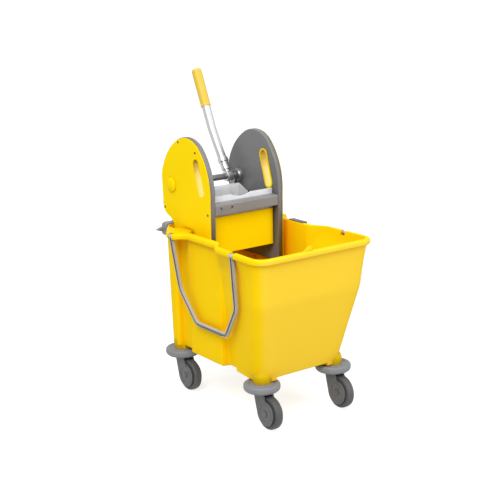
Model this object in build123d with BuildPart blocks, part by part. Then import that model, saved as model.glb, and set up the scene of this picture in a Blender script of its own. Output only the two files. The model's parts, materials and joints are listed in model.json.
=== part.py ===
from build123d import *
from math import acos, atan2, cos, degrees, pi, radians, sin, sqrt, tan
from typing import NamedTuple
import os

# Wheeled mop bucket with a lever-press wringer.
# Millimetres, +Z up, the front is -Y, the floor is Z = 0 and X = 0 is the plane of symmetry.

# Clearances
running_fit = 0.05
press_fit = 0.02
seat_gap = 0.3

# Casters
caster_x = 102.3
caster_front_y = -197.0
caster_back_y = 115.6
caster_trail = 27.8
wheel_radius = 38.0
tyre_width = 18.0
tyre_depth = 11.0
tyre_edge_radius = 5.0
hub_recess = 0.5
hub_boss_radius = 9.0
hub_side_gap = 0.7
axle_radius = 4.0
fork_side_gap = 1.5
fork_leg = 4.0
fork_disc_margin = 10.0
fork_crown_front = 20.9
fork_crown_back = 10.0
fork_crown_height = 11.5
fork_crown_rise = 5.5
wheel_room = 2.5
bumper_radius = 41.0
bumper_height = 18.0
bumper_edge_radius = 7.5
bumper_gap = 0.5
stem_radius = 5.0
stem_head_rim = 3.0
stem_head_height = 3.0
stem_head_room = 0.5
stem_web = 3.2
stem_reach = 50.0
leg_radius = 20.0
leg_drop = 8.0
leg_boss_height = 58.0
foot_drop = 6.5
foot_half_width = 30.0
foot_half_length = 88.0

# Bucket shell: heights above its floor, and outline points outward from the casters
bucket_wall = 4.0
bucket_floor = 5.0
crease_height = 180.0
shoulder_height = 237.0
wall_height = 276.5
floor_corner = (-3.5, -3.5)
crease_corner = (22.7, 31.7)
crease_corner_radius = 27.0
shoulder_corner = (25.7, 37.4)
shoulder_corner_radius = 27.5
top_corner = (27.7, 41.2)
top_corner_radius = 28.0
step_setback = 112.3
step_length = 7.0
step_flare = 22.0
step_x_floor = 105.0
step_x_crease = 121.0
step_x_shoulder = 127.8
step_x_top = 153.0
panel_x_floor = 123.0
panel_x_crease = 125.5
panel_x_shoulder = 126.2
panel_x_top = 128.0
panel_end_setback = 69.3
groove_length = 8.0
groove_room = 3.8
groove_draft = 2.5
post_draft = 6.5

# Rim flange
flange_thickness = 13.5
flange_overhang = 7.5
flange_waist = 12.0
flange_waist_lead = 12.0
flange_shoulder_in = 3.0
flange_shoulder_lead = 8.0
flange_post_lip = 1.0
wing_overhang = 4.6
wing_margin = 1.0
lug_width = 25.0
lug_height = 11.5
lug_depth = 5.0
lug_x = -25.4
lug_lean = 7.2
lug_root = 1.0

# Ledges inside the bucket that carry the wringer
ledge_length = 44.0
ledge_height = 12.0
ledge_inner_gap = 2.8
ledge_root = 2.0

# Bail handles
bail_pivot_out = 1.9
bail_back_setback = 14.5
bail_half_span = 117.25
bail_knee_in = 9.25
bail_knee_depth = 127.0
bail_bar_half = 58.0
bail_depth = 200.0
bail_knee_radius = 50.0
bail_corner_radius = 16.0
bail_tilt = 7.0
bail_width = 10.0
bail_thickness = 7.0
bail_groove_width = 5.0
bail_groove_depth = 3.0
bail_barrel_wall = 2.2
bail_barrel_length = 13.6
bail_notch_gap = 0.6
bail_notch_room = 1.0
bail_notch_depth = 28.0
lip_notch_reach = 6.0
lip_notch_depth = 11.0
bail_pin_radius = 2.2
bail_pin_length = 27.0
grip_notch_count = 8
grip_notch_pitch = 10.5
grip_notch_width = 4.0
grip_notch_depth = 1.2

# Wringer: Y places are measured from a line a little behind the back casters, Z places from the rim
wringer_setback = 2.5
side_inner_x = 88.8
side_thickness = 12.4
side_web = 3.0
side_rim = 3.0
cover_thickness = 2.5
cover_inset = 1.2
side_front = -134.3
side_bottom = -94.0
side_front_high = (-135.3, 73.0)
side_front_bulge = (-122.8, 146.0)
side_crown_front = (-88.3, 195.0)
side_crown_top = (-42.3, 211.0)
side_crown_back = (3.7, 197.0)
side_back_bulge = (43.7, 159.5)
side_back_high = (64.7, 112.0)
side_back_low = (61.7, 53.0)
side_lobe_bulge = (57.5, 29.0)
side_lobe_low = (39.7, 16.5)
side_neck_hollow = (26.7, 10.0)
side_neck = (19.1, 2.0)
side_back_bottom = 13.7
shaft_place = (19.7, 94.0)
hinge_place = (-28.3, -51.0)
slot_width = 22.0
slot_wall = 2.0
slot_top = (-81.0, 155.0)
slot_bottom = (-99.5, 92.5)
bezel_width = 4.0
bezel_height = 1.6
dome_radius = 17.0
dome_height = 4.0
dome_edge_radius = 3.0
screw_radius = 1.5
screw_head_radius = 2.8
screw_head_height = 1.4
screw_length = 10.0
screw_boss_wall = 3.5
screw_places = [(-10.8, 197.0), (-78.8, 180.0), (52.7, 36.0), (-124.3, 44.0)]

# Wringer cross members
bar_bottom = 43.0
bar_height = 25.0
bar_depth = 22.0
bar_wall = 2.5
bar_round = 5.0
bar_hole_radius = 2.2
bar_hole_rise = 14.0
bar_hole_spacing = 30.0
bar_hole_middle_x = -57.0
panel_setback = 16.5
panel_wall = 3.0
panel_height = 95.0
panel_top_gap = 8.5
panel_gap = 2.5
panel_rib_drops = (20.0, 70.0)
panel_rib_height = 6.0
panel_rib_depth = 2.0
plate_wall = 4.0
plate_top = 80.0
plate_dip = 6.5
plate_dip_half = 27.0
plate_rib_width = 3.0
plate_rib_height = 3.0
plate_rib_count = 12
plate_rib_short = 13.0
sieve_rise = 1.0
sieve_wall = 4.0
sieve_back = -45.0
sieve_slot_length = 16.0
sieve_slot_width = 5.0
sieve_columns = 8
sieve_rows = 3
sieve_row_pitch = 16.0

# Press plate and its push arms
hinge_pin_radius = 4.0
hinge_knuckle_wall = 5.0
hinge_knuckle_length = 54.0
press_side_gap = 2.8
press_height = 133.5
press_lean = 5.15
press_wall = 6.0
press_chamfer = 24.0
press_rib_height = 1.5
press_rib_width = 2.0
press_rib_pitch = 4.2
press_rib_count = 29
press_rib_short = 4.0
arm_side_gap = 0.8
arm_width = 8.0
arm_length = 50.0
arm_back_angle = 18.0
arm_ring_wall = 6.5
arm_bar_width = 10.0
arm_nose_radius = 9.0
pad_angle = 22.0
pad_gap = 0.6
pad_above = 2.0
pad_below = 18.0
gusset_drop = 34.0

# Shaft and lever
shaft_radius = 7.5
shaft_end_gap = 1.2
bush_wall = 2.0
bush_flange_radius = 16.5
bush_flange = 4.0
bush_collar_wall = 4.5
bush_collar = 4.0
lever_arm_gap = 4.0
lever_angle = 31.0
lever_bend = 7.0
lever_bend_start = 120.0
lever_bend_radius = 90.0
socket_ring_wall = 5.5
socket_ring_width = 20.0
socket_neck_radius = 9.0
socket_neck_end = 20.0
socket_block_radius = 11.5
socket_block_length = 20.0
socket_cup_length = 10.0
socket_cup_wall = 2.6
socket_spigot_length = 22.0
lever_tube_radius = 10.5
lever_tube_wall = 1.8
lever_tube_length = 230.0
grip_length = 96.0
grip_cap = 8.0
grip_wall = 2.0
grip_round = 7.0
bolt_radius = 3.0
bolt_head_radius = 5.0
bolt_head_height = 4.0
bolt_reach = 10.5

# Return spring on the press plate hinge
spring_wire = 2.4
spring_pin_gap = 0.3
spring_pitch = 4.0
spring_turns = 9
spring_tail = 3.0
spring_room = 1.2
spring_quarters = 4

# Hanger bracket over the back rim
hanger_half_width = 119.5
hanger_bar_depth = 21.0
hanger_lip_gap = 0.6
hanger_drop = 30.0
hanger_rise = 2.0
hanger_round = 8.0
hanger_plate = 8.0
hanger_reach = 3.7
hanger_tab = 19.0
hanger_tab_height = 13.0
hanger_tab_depth = 10.0

# Clip on the right rim
clip_setback = 53.0
clip_length = 50.5
clip_wall = 2.4
clip_top_width = 13.0
clip_drop = 12.0

# Heights, built up from the floor
fork_top = 2 * wheel_radius + fork_crown_rise
bumper_bottom = fork_top + bumper_gap
leg_bottom = bumper_bottom + bumper_height
floor_z = leg_bottom + leg_drop
crease_z = floor_z + crease_height
shoulder_z = floor_z + shoulder_height
flange_z = floor_z + wall_height
rim_z = flange_z + flange_thickness
stem_head_top = fork_top - stem_web

# Widths and depths
fork_gap = tyre_width + 2 * fork_side_gap
fork_half = fork_gap / 2 + fork_leg
fork_disc_radius = wheel_radius - fork_disc_margin
side_outer_x = side_inner_x + side_thickness
cover_outer_x = side_outer_x + cover_thickness
groove_x_top = cover_outer_x + groove_room + bucket_wall
wringer_y = caster_back_y + wringer_setback
step_y = caster_front_y + step_setback
panel_end_y = caster_back_y - panel_end_setback
flange_waist_x = panel_x_top + flange_waist
flange_post_radius = leg_radius + post_draft + flange_post_lip
flange_back_y = caster_back_y + flange_post_radius
bail_pivot_x = caster_x + top_corner[0] + top_corner_radius + bail_pivot_out
bail_mid_y = panel_end_y + bail_back_setback - bail_half_span
bail_pivot_z = rim_z - flange_thickness / 2
bail_barrel_radius = bail_pin_radius + bail_barrel_wall
wing_x = bail_pivot_x + wing_overhang
arm_x = side_inner_x - bush_flange - bush_collar - arm_side_gap - arm_width / 2
lever_x = arm_x - arm_width / 2 - lever_arm_gap - socket_ring_width / 2
press_half_width = side_inner_x - press_side_gap
sieve_bottom = bar_bottom - panel_height + sieve_rise
hinge_knuckle_radius = hinge_pin_radius + hinge_knuckle_wall
spring_radius = hinge_pin_radius + spring_pin_gap + spring_wire / 2

# Distances along the lever from the shaft's axis
socket_ring_radius = shaft_radius + socket_ring_wall
socket_cup_start = socket_neck_end + socket_block_length
lever_tube_end = socket_cup_start + lever_tube_length
grip_end = lever_tube_end + grip_cap
grip_start = grip_end - grip_length
lever_bend_end = lever_bend_start + lever_bend_radius * radians(lever_bend)

sides = {"left": -1, "right": 1}
corners = {
    "front_left": (-caster_x, caster_front_y),
    "front_right": (caster_x, caster_front_y),
    "back_left": (-caster_x, caster_back_y),
    "back_right": (caster_x, caster_back_y),
}

os.makedirs("parts", exist_ok=True)


def wringer_plane(x):
    """Plane square to X for the wringer's side views, with its origin where its places are measured from."""
    return Plane(origin=(x, wringer_y, rim_z), x_dir=(0, 1, 0), z_dir=(1, 0, 0))


def wringer_point(x, place):
    """A point of the wringer in the part's own frame."""
    return Vector(x, wringer_y + place[0], rim_z + place[1])


def cross_plane(place, x=0.0):
    """Plane square to X with its origin on one of the wringer's cross axes."""
    return Plane(origin=wringer_point(x, place), x_dir=(0, 1, 0), z_dir=(1, 0, 0))


def save(piece, name):
    """Label one finished piece and write it under its own name."""
    piece.part.label = name
    export_step(piece.part, f"parts/{name}.step")


class Level(NamedTuple):
    """The bucket wall's outer outline at one height, as half sizes from the plane of symmetry."""

    z: float
    corner: tuple
    corner_radius: float
    step_x: float
    panel_x: float
    flare: float = 0.0


levels = [
    Level(floor_z, floor_corner, leg_radius, step_x_floor, panel_x_floor),
    Level(crease_z, crease_corner, crease_corner_radius, step_x_crease, panel_x_crease),
    Level(shoulder_z, shoulder_corner, shoulder_corner_radius, step_x_shoulder, panel_x_shoulder),
    Level(flange_z, top_corner, top_corner_radius, step_x_top, panel_x_top, step_flare),
]
top_level = levels[-1]


def drafted(top_size, draft, z):
    """A size that grows evenly by its draft from the bucket's floor to the flange."""
    return top_size - draft * (flange_z - z) / (flange_z - floor_z)


def half_wall(level, side):
    """One half of the wall's outline, from the middle of the front to the middle of the back."""
    corner_x = caster_x + level.corner[0]
    corner_y = caster_front_y - level.corner[1]
    radius = level.corner_radius
    diagonal = radius * sqrt(0.5)
    groove_x = drafted(groove_x_top, groove_draft, level.z)
    post_radius = drafted(leg_radius + post_draft, post_draft, level.z)
    post_front_y = caster_back_y - sqrt(post_radius**2 - (groove_x - caster_x) ** 2)
    post_back_y = caster_back_y + post_radius
    Line((0, corner_y - radius), (side * corner_x, corner_y - radius))
    ThreePointArc(
        (side * corner_x, corner_y - radius),
        (side * (corner_x + diagonal), corner_y - diagonal),
        (side * (corner_x + radius), corner_y),
    )
    Polyline(
        (side * (corner_x + radius), corner_y),
        (side * level.step_x, step_y - level.flare),
        (side * level.panel_x, step_y + step_length),
        (side * level.panel_x, panel_end_y),
        (side * groove_x, panel_end_y + groove_length),
        (side * groove_x, post_front_y),
    )
    ThreePointArc(
        (side * groove_x, post_front_y),
        (side * (caster_x + post_radius), caster_back_y),
        (side * caster_x, post_back_y),
    )
    Line((side * caster_x, post_back_y), (0, post_back_y))


def wall_outline(level):
    """The edges of the wall's outer outline at one level."""
    with BuildLine() as outline:
        for side in sides.values():
            half_wall(level, side)
    return outline.edges()


def post_point(angle):
    """Point on the flange's rounding about the right back post."""
    return caster_x + flange_post_radius * cos(angle), caster_back_y + flange_post_radius * sin(angle)


def half_flange(side):
    """One half of the rim flange's outline, with wings at the bail pivots and a round about the back post."""
    corner_x = caster_x + top_corner[0]
    corner_y = caster_front_y - top_corner[1]
    radius = top_corner_radius + flange_overhang
    diagonal = radius * sqrt(0.5)
    wing_half = bail_pin_length / 2 + wing_margin
    front_pivot_y = bail_mid_y - bail_half_span
    back_pivot_y = bail_mid_y + bail_half_span
    wing_back = Vector(wing_x - caster_x, back_pivot_y + wing_half - caster_back_y)
    touch = atan2(wing_back.Y, wing_back.X) + acos(flange_post_radius / wing_back.length)
    touch_x, touch_y = post_point(touch)
    middle_x, middle_y = post_point((touch + pi / 2) / 2)
    Line((0, corner_y - radius), (side * corner_x, corner_y - radius))
    ThreePointArc(
        (side * corner_x, corner_y - radius),
        (side * (corner_x + diagonal), corner_y - diagonal),
        (side * (corner_x + radius), corner_y),
    )
    Polyline(
        (side * (corner_x + radius), corner_y),
        (side * wing_x, front_pivot_y - wing_half),
        (side * wing_x, front_pivot_y + wing_half),
        (side * (wing_x - flange_shoulder_in), step_y - step_flare - flange_shoulder_lead),
        (side * flange_waist_x, step_y + step_length),
        (side * flange_waist_x, panel_end_y - flange_waist_lead),
        (side * wing_x, back_pivot_y - wing_half),
        (side * wing_x, back_pivot_y + wing_half),
        (side * touch_x, touch_y),
    )
    ThreePointArc(
        (side * touch_x, touch_y),
        (side * middle_x, middle_y),
        (side * caster_x, flange_back_y),
    )
    Line((side * caster_x, flange_back_y), (0, flange_back_y))


def bail_pivot_planes(side):
    """Planes square to the pivot axis at the two pivots of one bail handle."""
    ends = (-1, 1)
    return [
        Plane(origin=(side * bail_pivot_x, bail_mid_y + end * bail_half_span, bail_pivot_z), z_dir=(0, 1, 0))
        for end in ends
    ]


def make_bucket():
    """The moulded bucket: lofted wall, rim flange, four legs, notches and bores for what it carries."""
    notch_inner = bail_barrel_radius + bail_notch_room
    notch_width = bail_barrel_length + 2 * bail_notch_gap
    ledge_outer_x = panel_x_shoulder - bucket_wall + ledge_root
    ledge_inner_x = side_inner_x - ledge_inner_gap
    lug_back_y = caster_front_y - top_corner[1] - top_corner_radius + bucket_wall
    with BuildPart() as bucket:
        # Outer form
        for level in levels:
            with BuildSketch(Plane.XY.offset(level.z)):
                make_face(wall_outline(level))
        with BuildSketch(Plane.XY.offset(rim_z)):
            make_face(wall_outline(top_level))
        loft(ruled=True)
        with BuildSketch(Plane.XY.offset(flange_z)):
            with BuildLine():
                for side in sides.values():
                    half_flange(side)
            make_face()
        extrude(amount=flange_thickness)
        # Hollow
        for level in levels:
            height = level.z + bucket_floor if level is levels[0] else level.z
            with BuildSketch(Plane.XY.offset(height)):
                make_face(wall_outline(level))
                offset(amount=-bucket_wall, kind=Kind.INTERSECTION, mode=Mode.REPLACE)
        with BuildSketch(Plane.XY.offset(rim_z)):
            make_face(wall_outline(top_level))
            offset(amount=-bucket_wall, kind=Kind.INTERSECTION, mode=Mode.REPLACE)
        loft(ruled=True, mode=Mode.SUBTRACT)
        # Feet under the front corners
        with BuildSketch(Plane.XY.offset(floor_z)):
            with Locations((-caster_x, caster_front_y), (caster_x, caster_front_y)):
                Ellipse(foot_half_width, foot_half_length)
            make_face(wall_outline(levels[0]), mode=Mode.INTERSECT)
        extrude(amount=-foot_drop)
        # Legs
        with BuildSketch(Plane.XY.offset(leg_bottom)):
            with Locations(*corners.values()):
                Circle(leg_radius)
        extrude(amount=leg_drop + leg_boss_height)
        with BuildSketch(Plane.XY.offset(leg_bottom)):
            with Locations(*corners.values()):
                Circle(stem_radius + press_fit)
        extrude(amount=stem_reach + seat_gap, mode=Mode.SUBTRACT)
        # Ledges under the wringer's side frames
        with BuildSketch(Plane.XY.offset(rim_z + side_bottom - seat_gap - ledge_height)):
            for side in sides.values():
                ledge_middle_y = wringer_y + side_front + ledge_length / 2
                with Locations((side * (ledge_outer_x + ledge_inner_x) / 2, ledge_middle_y)):
                    Rectangle(ledge_outer_x - ledge_inner_x, ledge_length)
        extrude(amount=ledge_height)
        # Lug on the front rim
        with BuildSketch(Plane.XZ.offset(-lug_back_y)):
            with BuildLine():
                Polyline(
                    (lug_x - lug_width / 2, rim_z - lug_root),
                    (lug_x + lug_lean, rim_z + lug_height),
                    (lug_x + lug_width / 2, rim_z - lug_root),
                    close=True,
                )
            make_face()
        extrude(amount=lug_depth)
        # Notches and pin holes for the bail handles
        for side in sides.values():
            for pivot in bail_pivot_planes(side):
                with BuildSketch(Plane.XY.offset(rim_z - bail_notch_depth)):
                    with Locations((side * (bail_pivot_x - notch_inner), pivot.origin.Y)):
                        outward = Align.MIN if side > 0 else Align.MAX
                        Rectangle(3 * notch_inner, notch_width, align=(outward, Align.CENTER))
                extrude(amount=bail_notch_depth, mode=Mode.SUBTRACT)
                with BuildSketch(pivot):
                    Circle(bail_pin_radius + press_fit)
                extrude(amount=bail_pin_length / 2 + seat_gap, both=True, mode=Mode.SUBTRACT)
            with BuildSketch(Plane.XY.offset(rim_z - lip_notch_depth)):
                with Locations((side * (bail_pivot_x - notch_inner), bail_mid_y - bail_half_span)):
                    inward = Align.MAX if side > 0 else Align.MIN
                    Rectangle(lip_notch_reach, notch_width, align=(inward, Align.CENTER))
            extrude(amount=lip_notch_depth, mode=Mode.SUBTRACT)
    save(bucket, "bucket")


def make_bail_pins():
    """Four pivot pins, two for each bail handle."""
    with BuildPart() as bail_pins:
        for side in sides.values():
            for pivot in bail_pivot_planes(side):
                with BuildSketch(pivot):
                    Circle(bail_pin_radius)
                extrude(amount=bail_pin_length / 2, both=True)
    save(bail_pins, "bail_pins")


def make_bail(name, side):
    """A bail handle: a grooved bar bent in one plane, with a barrel at each pivot and grip notches."""
    lean = radians(bail_tilt)
    down = Vector(-side * sin(lean), 0, -cos(lean))
    along = Vector(0, 1, 0)
    pivot_middle = (side * bail_pivot_x, bail_mid_y, bail_pivot_z)
    plane = Plane(origin=pivot_middle, x_dir=along, z_dir=along.cross(down))
    knee_half = bail_half_span - bail_knee_in
    with BuildPart() as bail:
        with BuildLine(plane) as path:
            FilletPolyline(
                (-bail_half_span, 0),
                (-knee_half, bail_knee_depth),
                (-bail_bar_half, bail_depth),
                (bail_bar_half, bail_depth),
                (knee_half, bail_knee_depth),
                (bail_half_span, 0),
                radius=[bail_knee_radius, bail_corner_radius, bail_corner_radius, bail_knee_radius],
            )
        with BuildSketch(Plane(origin=path.line @ 0, x_dir=plane.z_dir, z_dir=path.line % 0)):
            Rectangle(bail_thickness, bail_width)
            with Locations((-side * bail_thickness / 2, 0)):
                Rectangle(2 * bail_groove_depth, bail_groove_width, mode=Mode.SUBTRACT)
        sweep()
        for pivot in bail_pivot_planes(side):
            with BuildSketch(pivot):
                Circle(bail_barrel_radius)
            extrude(amount=bail_barrel_length / 2, both=True)
            with BuildSketch(pivot):
                Circle(bail_pin_radius + running_fit)
            extrude(amount=bail_barrel_length, both=True, mode=Mode.SUBTRACT)
        with BuildSketch(plane):
            with Locations((0, bail_depth + bail_width / 2)):
                with GridLocations(grip_notch_pitch, 1, grip_notch_count, 1):
                    Rectangle(grip_notch_width, 2 * grip_notch_depth)
        extrude(amount=bail_thickness, both=True, mode=Mode.SUBTRACT)
    save(bail, name)


def make_caster(corner, place):
    """One caster: bumper and stem on the bucket's leg, fork and axle that swivel, hub and tyre that roll."""
    x, y = place
    swivel = Plane(origin=(x, y, 0))
    axle_plane = Plane(origin=(x, y - caster_trail, wheel_radius), x_dir=(0, 1, 0), z_dir=(1, 0, 0))
    stem_shoulder = stem_head_top - stem_head_room
    stem_head_radius = stem_radius + stem_head_rim
    crown_top = fork_top - wheel_radius
    crown_back_low = Vector(caster_trail + fork_crown_back, crown_top - fork_crown_height)
    back_touch = atan2(crown_back_low.Y, crown_back_low.X) - acos(fork_disc_radius / crown_back_low.length)

    with BuildPart() as bumper:
        with BuildSketch(swivel.offset(bumper_bottom)):
            Circle(bumper_radius)
            Circle(stem_radius + press_fit, mode=Mode.SUBTRACT)
        extrude(amount=bumper_height)
        outer = bumper.edges().filter_by(GeomType.CIRCLE).sort_by(SortBy.RADIUS)[-2:]
        fillet(outer, radius=min(bumper_edge_radius, bumper_height / 2 - seat_gap))
    save(bumper, f"bumper_{corner}")

    with BuildPart() as stem:
        with BuildSketch(swivel.offset(stem_shoulder)):
            Circle(stem_head_radius)
        extrude(amount=-stem_head_height)
        with BuildSketch(swivel.offset(stem_shoulder)):
            Circle(stem_radius)
        extrude(amount=leg_bottom + stem_reach - stem_shoulder)
    save(stem, f"stem_{corner}")

    with BuildPart() as fork:
        with BuildSketch(axle_plane.offset(-fork_half)):
            Circle(fork_disc_radius)
            with BuildLine():
                Polyline(
                    (0, 0),
                    (fork_disc_radius * cos(back_touch), fork_disc_radius * sin(back_touch)),
                    (crown_back_low.X, crown_back_low.Y),
                    (crown_back_low.X, crown_top),
                    (caster_trail - fork_crown_front, crown_top),
                    (0, fork_disc_radius),
                    close=True,
                )
            make_face()
        extrude(amount=2 * fork_half)
        with BuildSketch(axle_plane):
            Circle(wheel_radius + wheel_room)
        extrude(amount=fork_gap / 2, both=True, mode=Mode.SUBTRACT)
        with BuildSketch(swivel.offset(fork_top)):
            Circle(stem_radius + running_fit)
        extrude(amount=-fork_top, mode=Mode.SUBTRACT)
        with BuildSketch(swivel.offset(stem_head_top)):
            Circle(stem_head_radius + stem_head_room)
        extrude(amount=-stem_head_top, mode=Mode.SUBTRACT)
        with BuildSketch(axle_plane):
            Circle(axle_radius + press_fit)
        extrude(amount=fork_half, both=True, mode=Mode.SUBTRACT)
    save(fork, f"fork_{corner}")

    with BuildPart() as axle:
        with BuildSketch(axle_plane):
            Circle(axle_radius)
        extrude(amount=fork_half, both=True)
    save(axle, f"axle_{corner}")

    with BuildPart() as hub:
        with BuildSketch(axle_plane):
            Circle(wheel_radius - tyre_depth - press_fit)
        extrude(amount=tyre_width / 2 - hub_recess, both=True)
        with BuildSketch(axle_plane):
            Circle(hub_boss_radius)
        extrude(amount=fork_gap / 2 - hub_side_gap, both=True)
        with BuildSketch(axle_plane):
            Circle(axle_radius + running_fit)
        extrude(amount=fork_gap / 2, both=True, mode=Mode.SUBTRACT)
    save(hub, f"hub_{corner}")

    with BuildPart() as tyre:
        with BuildSketch(axle_plane):
            Circle(wheel_radius)
            Circle(wheel_radius - tyre_depth, mode=Mode.SUBTRACT)
        extrude(amount=tyre_width / 2, both=True)
        tread = tyre.edges().filter_by(GeomType.CIRCLE).sort_by(SortBy.RADIUS)[-2:]
        fillet(tread, radius=min(tyre_edge_radius, tyre_width / 2 - seat_gap))
    save(tyre, f"tyre_{corner}")


def side_outline():
    """The edges of the wringer's side frame seen from the side."""
    front_low = (side_front, side_bottom)
    back_low = (side_back_bottom, side_bottom)
    with BuildLine() as outline:
        Line(front_low, side_front_high)
        ThreePointArc(side_front_high, side_front_bulge, side_crown_front)
        ThreePointArc(side_crown_front, side_crown_top, side_crown_back)
        ThreePointArc(side_crown_back, side_back_bulge, side_back_high)
        Line(side_back_high, side_back_low)
        ThreePointArc(side_back_low, side_lobe_bulge, side_lobe_low)
        ThreePointArc(side_lobe_low, side_neck_hollow, side_neck)
        Line(side_neck, back_low)
        Line(back_low, front_low)
    return outline.edges()


def hand_slot(width):
    """The slanted hand slot in the side frames, for use inside a sketch."""
    rise = Vector(*slot_top) - Vector(*slot_bottom)
    middle = (Vector(*slot_top) + Vector(*slot_bottom)) / 2
    with Locations(Location((middle.X, middle.Y), degrees(atan2(rise.Y, rise.X)))):
        SlotCenterToCenter(rise.length, width)


def make_side(name, side):
    """One grey side frame: a tray open to the outside, with bosses for what passes through it."""
    liner_width = slot_width + 2 * (slot_wall + press_fit)
    boss_height = side_thickness - side_web
    with BuildPart() as frame:
        with BuildSketch(wringer_plane(side * side_inner_x)):
            make_face(side_outline())
        extrude(amount=side * side_thickness)
        with BuildSketch(wringer_plane(side * (side_inner_x + side_web))):
            make_face(side_outline())
            offset(amount=-side_rim, mode=Mode.REPLACE)
        extrude(amount=side * boss_height, mode=Mode.SUBTRACT)
        with BuildSketch(wringer_plane(side * (side_inner_x + side_web))):
            hand_slot(liner_width + 2 * side_rim)
            with Locations(shaft_place):
                Circle(shaft_radius + bush_wall + side_rim)
            with Locations(hinge_place):
                Circle(hinge_pin_radius + side_rim)
            with Locations(*screw_places):
                Circle(screw_radius + screw_boss_wall)
        extrude(amount=side * boss_height)
        with BuildSketch(wringer_plane(side * side_inner_x)):
            hand_slot(liner_width)
            with Locations(shaft_place):
                Circle(shaft_radius + bush_wall + press_fit)
            with Locations(hinge_place):
                Circle(hinge_pin_radius + press_fit)
        extrude(amount=side * side_thickness, mode=Mode.SUBTRACT)
        with BuildSketch(wringer_plane(side * side_outer_x)):
            with Locations(*screw_places):
                Circle(screw_radius + press_fit)
        extrude(amount=-side * screw_length, mode=Mode.SUBTRACT)
    save(frame, f"side_frame_{name}")


def make_cover(name, side):
    """One yellow outer cover with its dome over the shaft end and the liner of the hand slot."""
    with BuildPart() as cover:
        with BuildSketch(wringer_plane(side * side_outer_x)):
            make_face(side_outline())
            offset(amount=-cover_inset, mode=Mode.REPLACE)
        extrude(amount=side * cover_thickness)
        with BuildSketch(wringer_plane(side * cover_outer_x)):
            with Locations(shaft_place):
                Circle(dome_radius)
        extrude(amount=side * dome_height)
        outermost = cover.faces().sort_by(Axis((0, 0, 0), (side, 0, 0)))[-1]
        fillet(outermost.edges(), radius=min(dome_edge_radius, dome_height - seat_gap))
        with BuildSketch(wringer_plane(side * side_inner_x)):
            hand_slot(slot_width + 2 * slot_wall)
        extrude(amount=side * (side_thickness + cover_thickness))
        with BuildSketch(wringer_plane(side * side_inner_x)):
            hand_slot(slot_width)
        extrude(amount=side * (side_thickness + cover_thickness), mode=Mode.SUBTRACT)
        with BuildSketch(wringer_plane(side * side_outer_x)):
            with Locations(*screw_places):
                Circle(screw_radius + press_fit)
        extrude(amount=side * cover_thickness, mode=Mode.SUBTRACT)
        with BuildSketch(wringer_plane(side * cover_outer_x)):
            with Locations(*screw_places):
                Circle(screw_head_radius + press_fit)
        extrude(amount=-side * screw_head_height, mode=Mode.SUBTRACT)
    save(cover, f"outer_cover_{name}")


def make_slot_bezel(name, side):
    """A flat ring round the hand slot, on the inside of a side frame."""
    with BuildPart() as bezel:
        with BuildSketch(wringer_plane(side * side_inner_x)):
            hand_slot(slot_width + 2 * bezel_width)
        extrude(amount=-side * bezel_height)
        with BuildSketch(wringer_plane(side * side_inner_x)):
            hand_slot(slot_width)
        extrude(amount=-side * bezel_height, mode=Mode.SUBTRACT)
    save(bezel, f"slot_bezel_{name}")


def make_cover_screws():
    """Eight screws that hold the covers to the side frames."""
    with BuildPart() as cover_screws:
        for side in sides.values():
            head_seat = wringer_plane(side * (cover_outer_x - screw_head_height))
            with BuildSketch(head_seat):
                with Locations(*screw_places):
                    Circle(screw_head_radius)
            extrude(amount=side * screw_head_height)
            with BuildSketch(head_seat):
                with Locations(*screw_places):
                    Circle(screw_radius)
            extrude(amount=-side * (screw_length + cover_thickness - screw_head_height - seat_gap))
    save(cover_screws, "cover_screws")


def make_crossbar():
    """The grey channel between the side frames, its front top edge rounded, with two fixing holes."""
    back = side_front + bar_depth
    inner = side_front + bar_wall
    bar_top = bar_bottom + bar_height
    round_middle = (side_front + bar_round, bar_top - bar_round)
    hole_middle = wringer_point(bar_hole_middle_x, (side_front, bar_bottom + bar_hole_rise))
    with BuildPart() as crossbar:
        with BuildSketch(wringer_plane(0)):
            with BuildLine():
                Polyline(
                    (side_front, round_middle[1]),
                    (side_front, bar_bottom),
                    (back, bar_bottom),
                    (back, bar_bottom + bar_wall),
                    (inner, bar_bottom + bar_wall),
                    (inner, round_middle[1]),
                )
                CenterArc(round_middle, bar_round - bar_wall, 90, 90)
                Polyline(
                    (round_middle[0], bar_top - bar_wall),
                    (back, bar_top - bar_wall),
                    (back, bar_top),
                    (round_middle[0], bar_top),
                )
                CenterArc(round_middle, bar_round, 90, 90)
            make_face()
        extrude(amount=side_inner_x, both=True)
        with BuildSketch(Plane(origin=hole_middle, x_dir=(1, 0, 0), z_dir=(0, 1, 0))):
            with GridLocations(bar_hole_spacing, 1, 2, 1):
                Circle(bar_hole_radius)
        extrude(amount=bar_wall, mode=Mode.SUBTRACT)
    save(crossbar, "crossbar")


def make_front_panel():
    """The yellow splash panel under the crossbar, held between the side frames by two ribs behind it."""
    front = side_front + panel_setback
    with BuildPart() as front_panel:
        with BuildSketch(wringer_plane(0)):
            with Locations((front, bar_bottom - panel_top_gap)):
                Rectangle(panel_wall, panel_height - panel_top_gap, align=(Align.MIN, Align.MAX))
        extrude(amount=side_inner_x - panel_gap, both=True)
        with BuildSketch(wringer_plane(0)):
            with Locations(*((front + panel_wall, bar_bottom - drop) for drop in panel_rib_drops)):
                Rectangle(panel_rib_depth, panel_rib_height, align=(Align.MIN, Align.MAX))
        extrude(amount=side_inner_x, both=True)
    save(front_panel, "front_panel")


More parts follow.
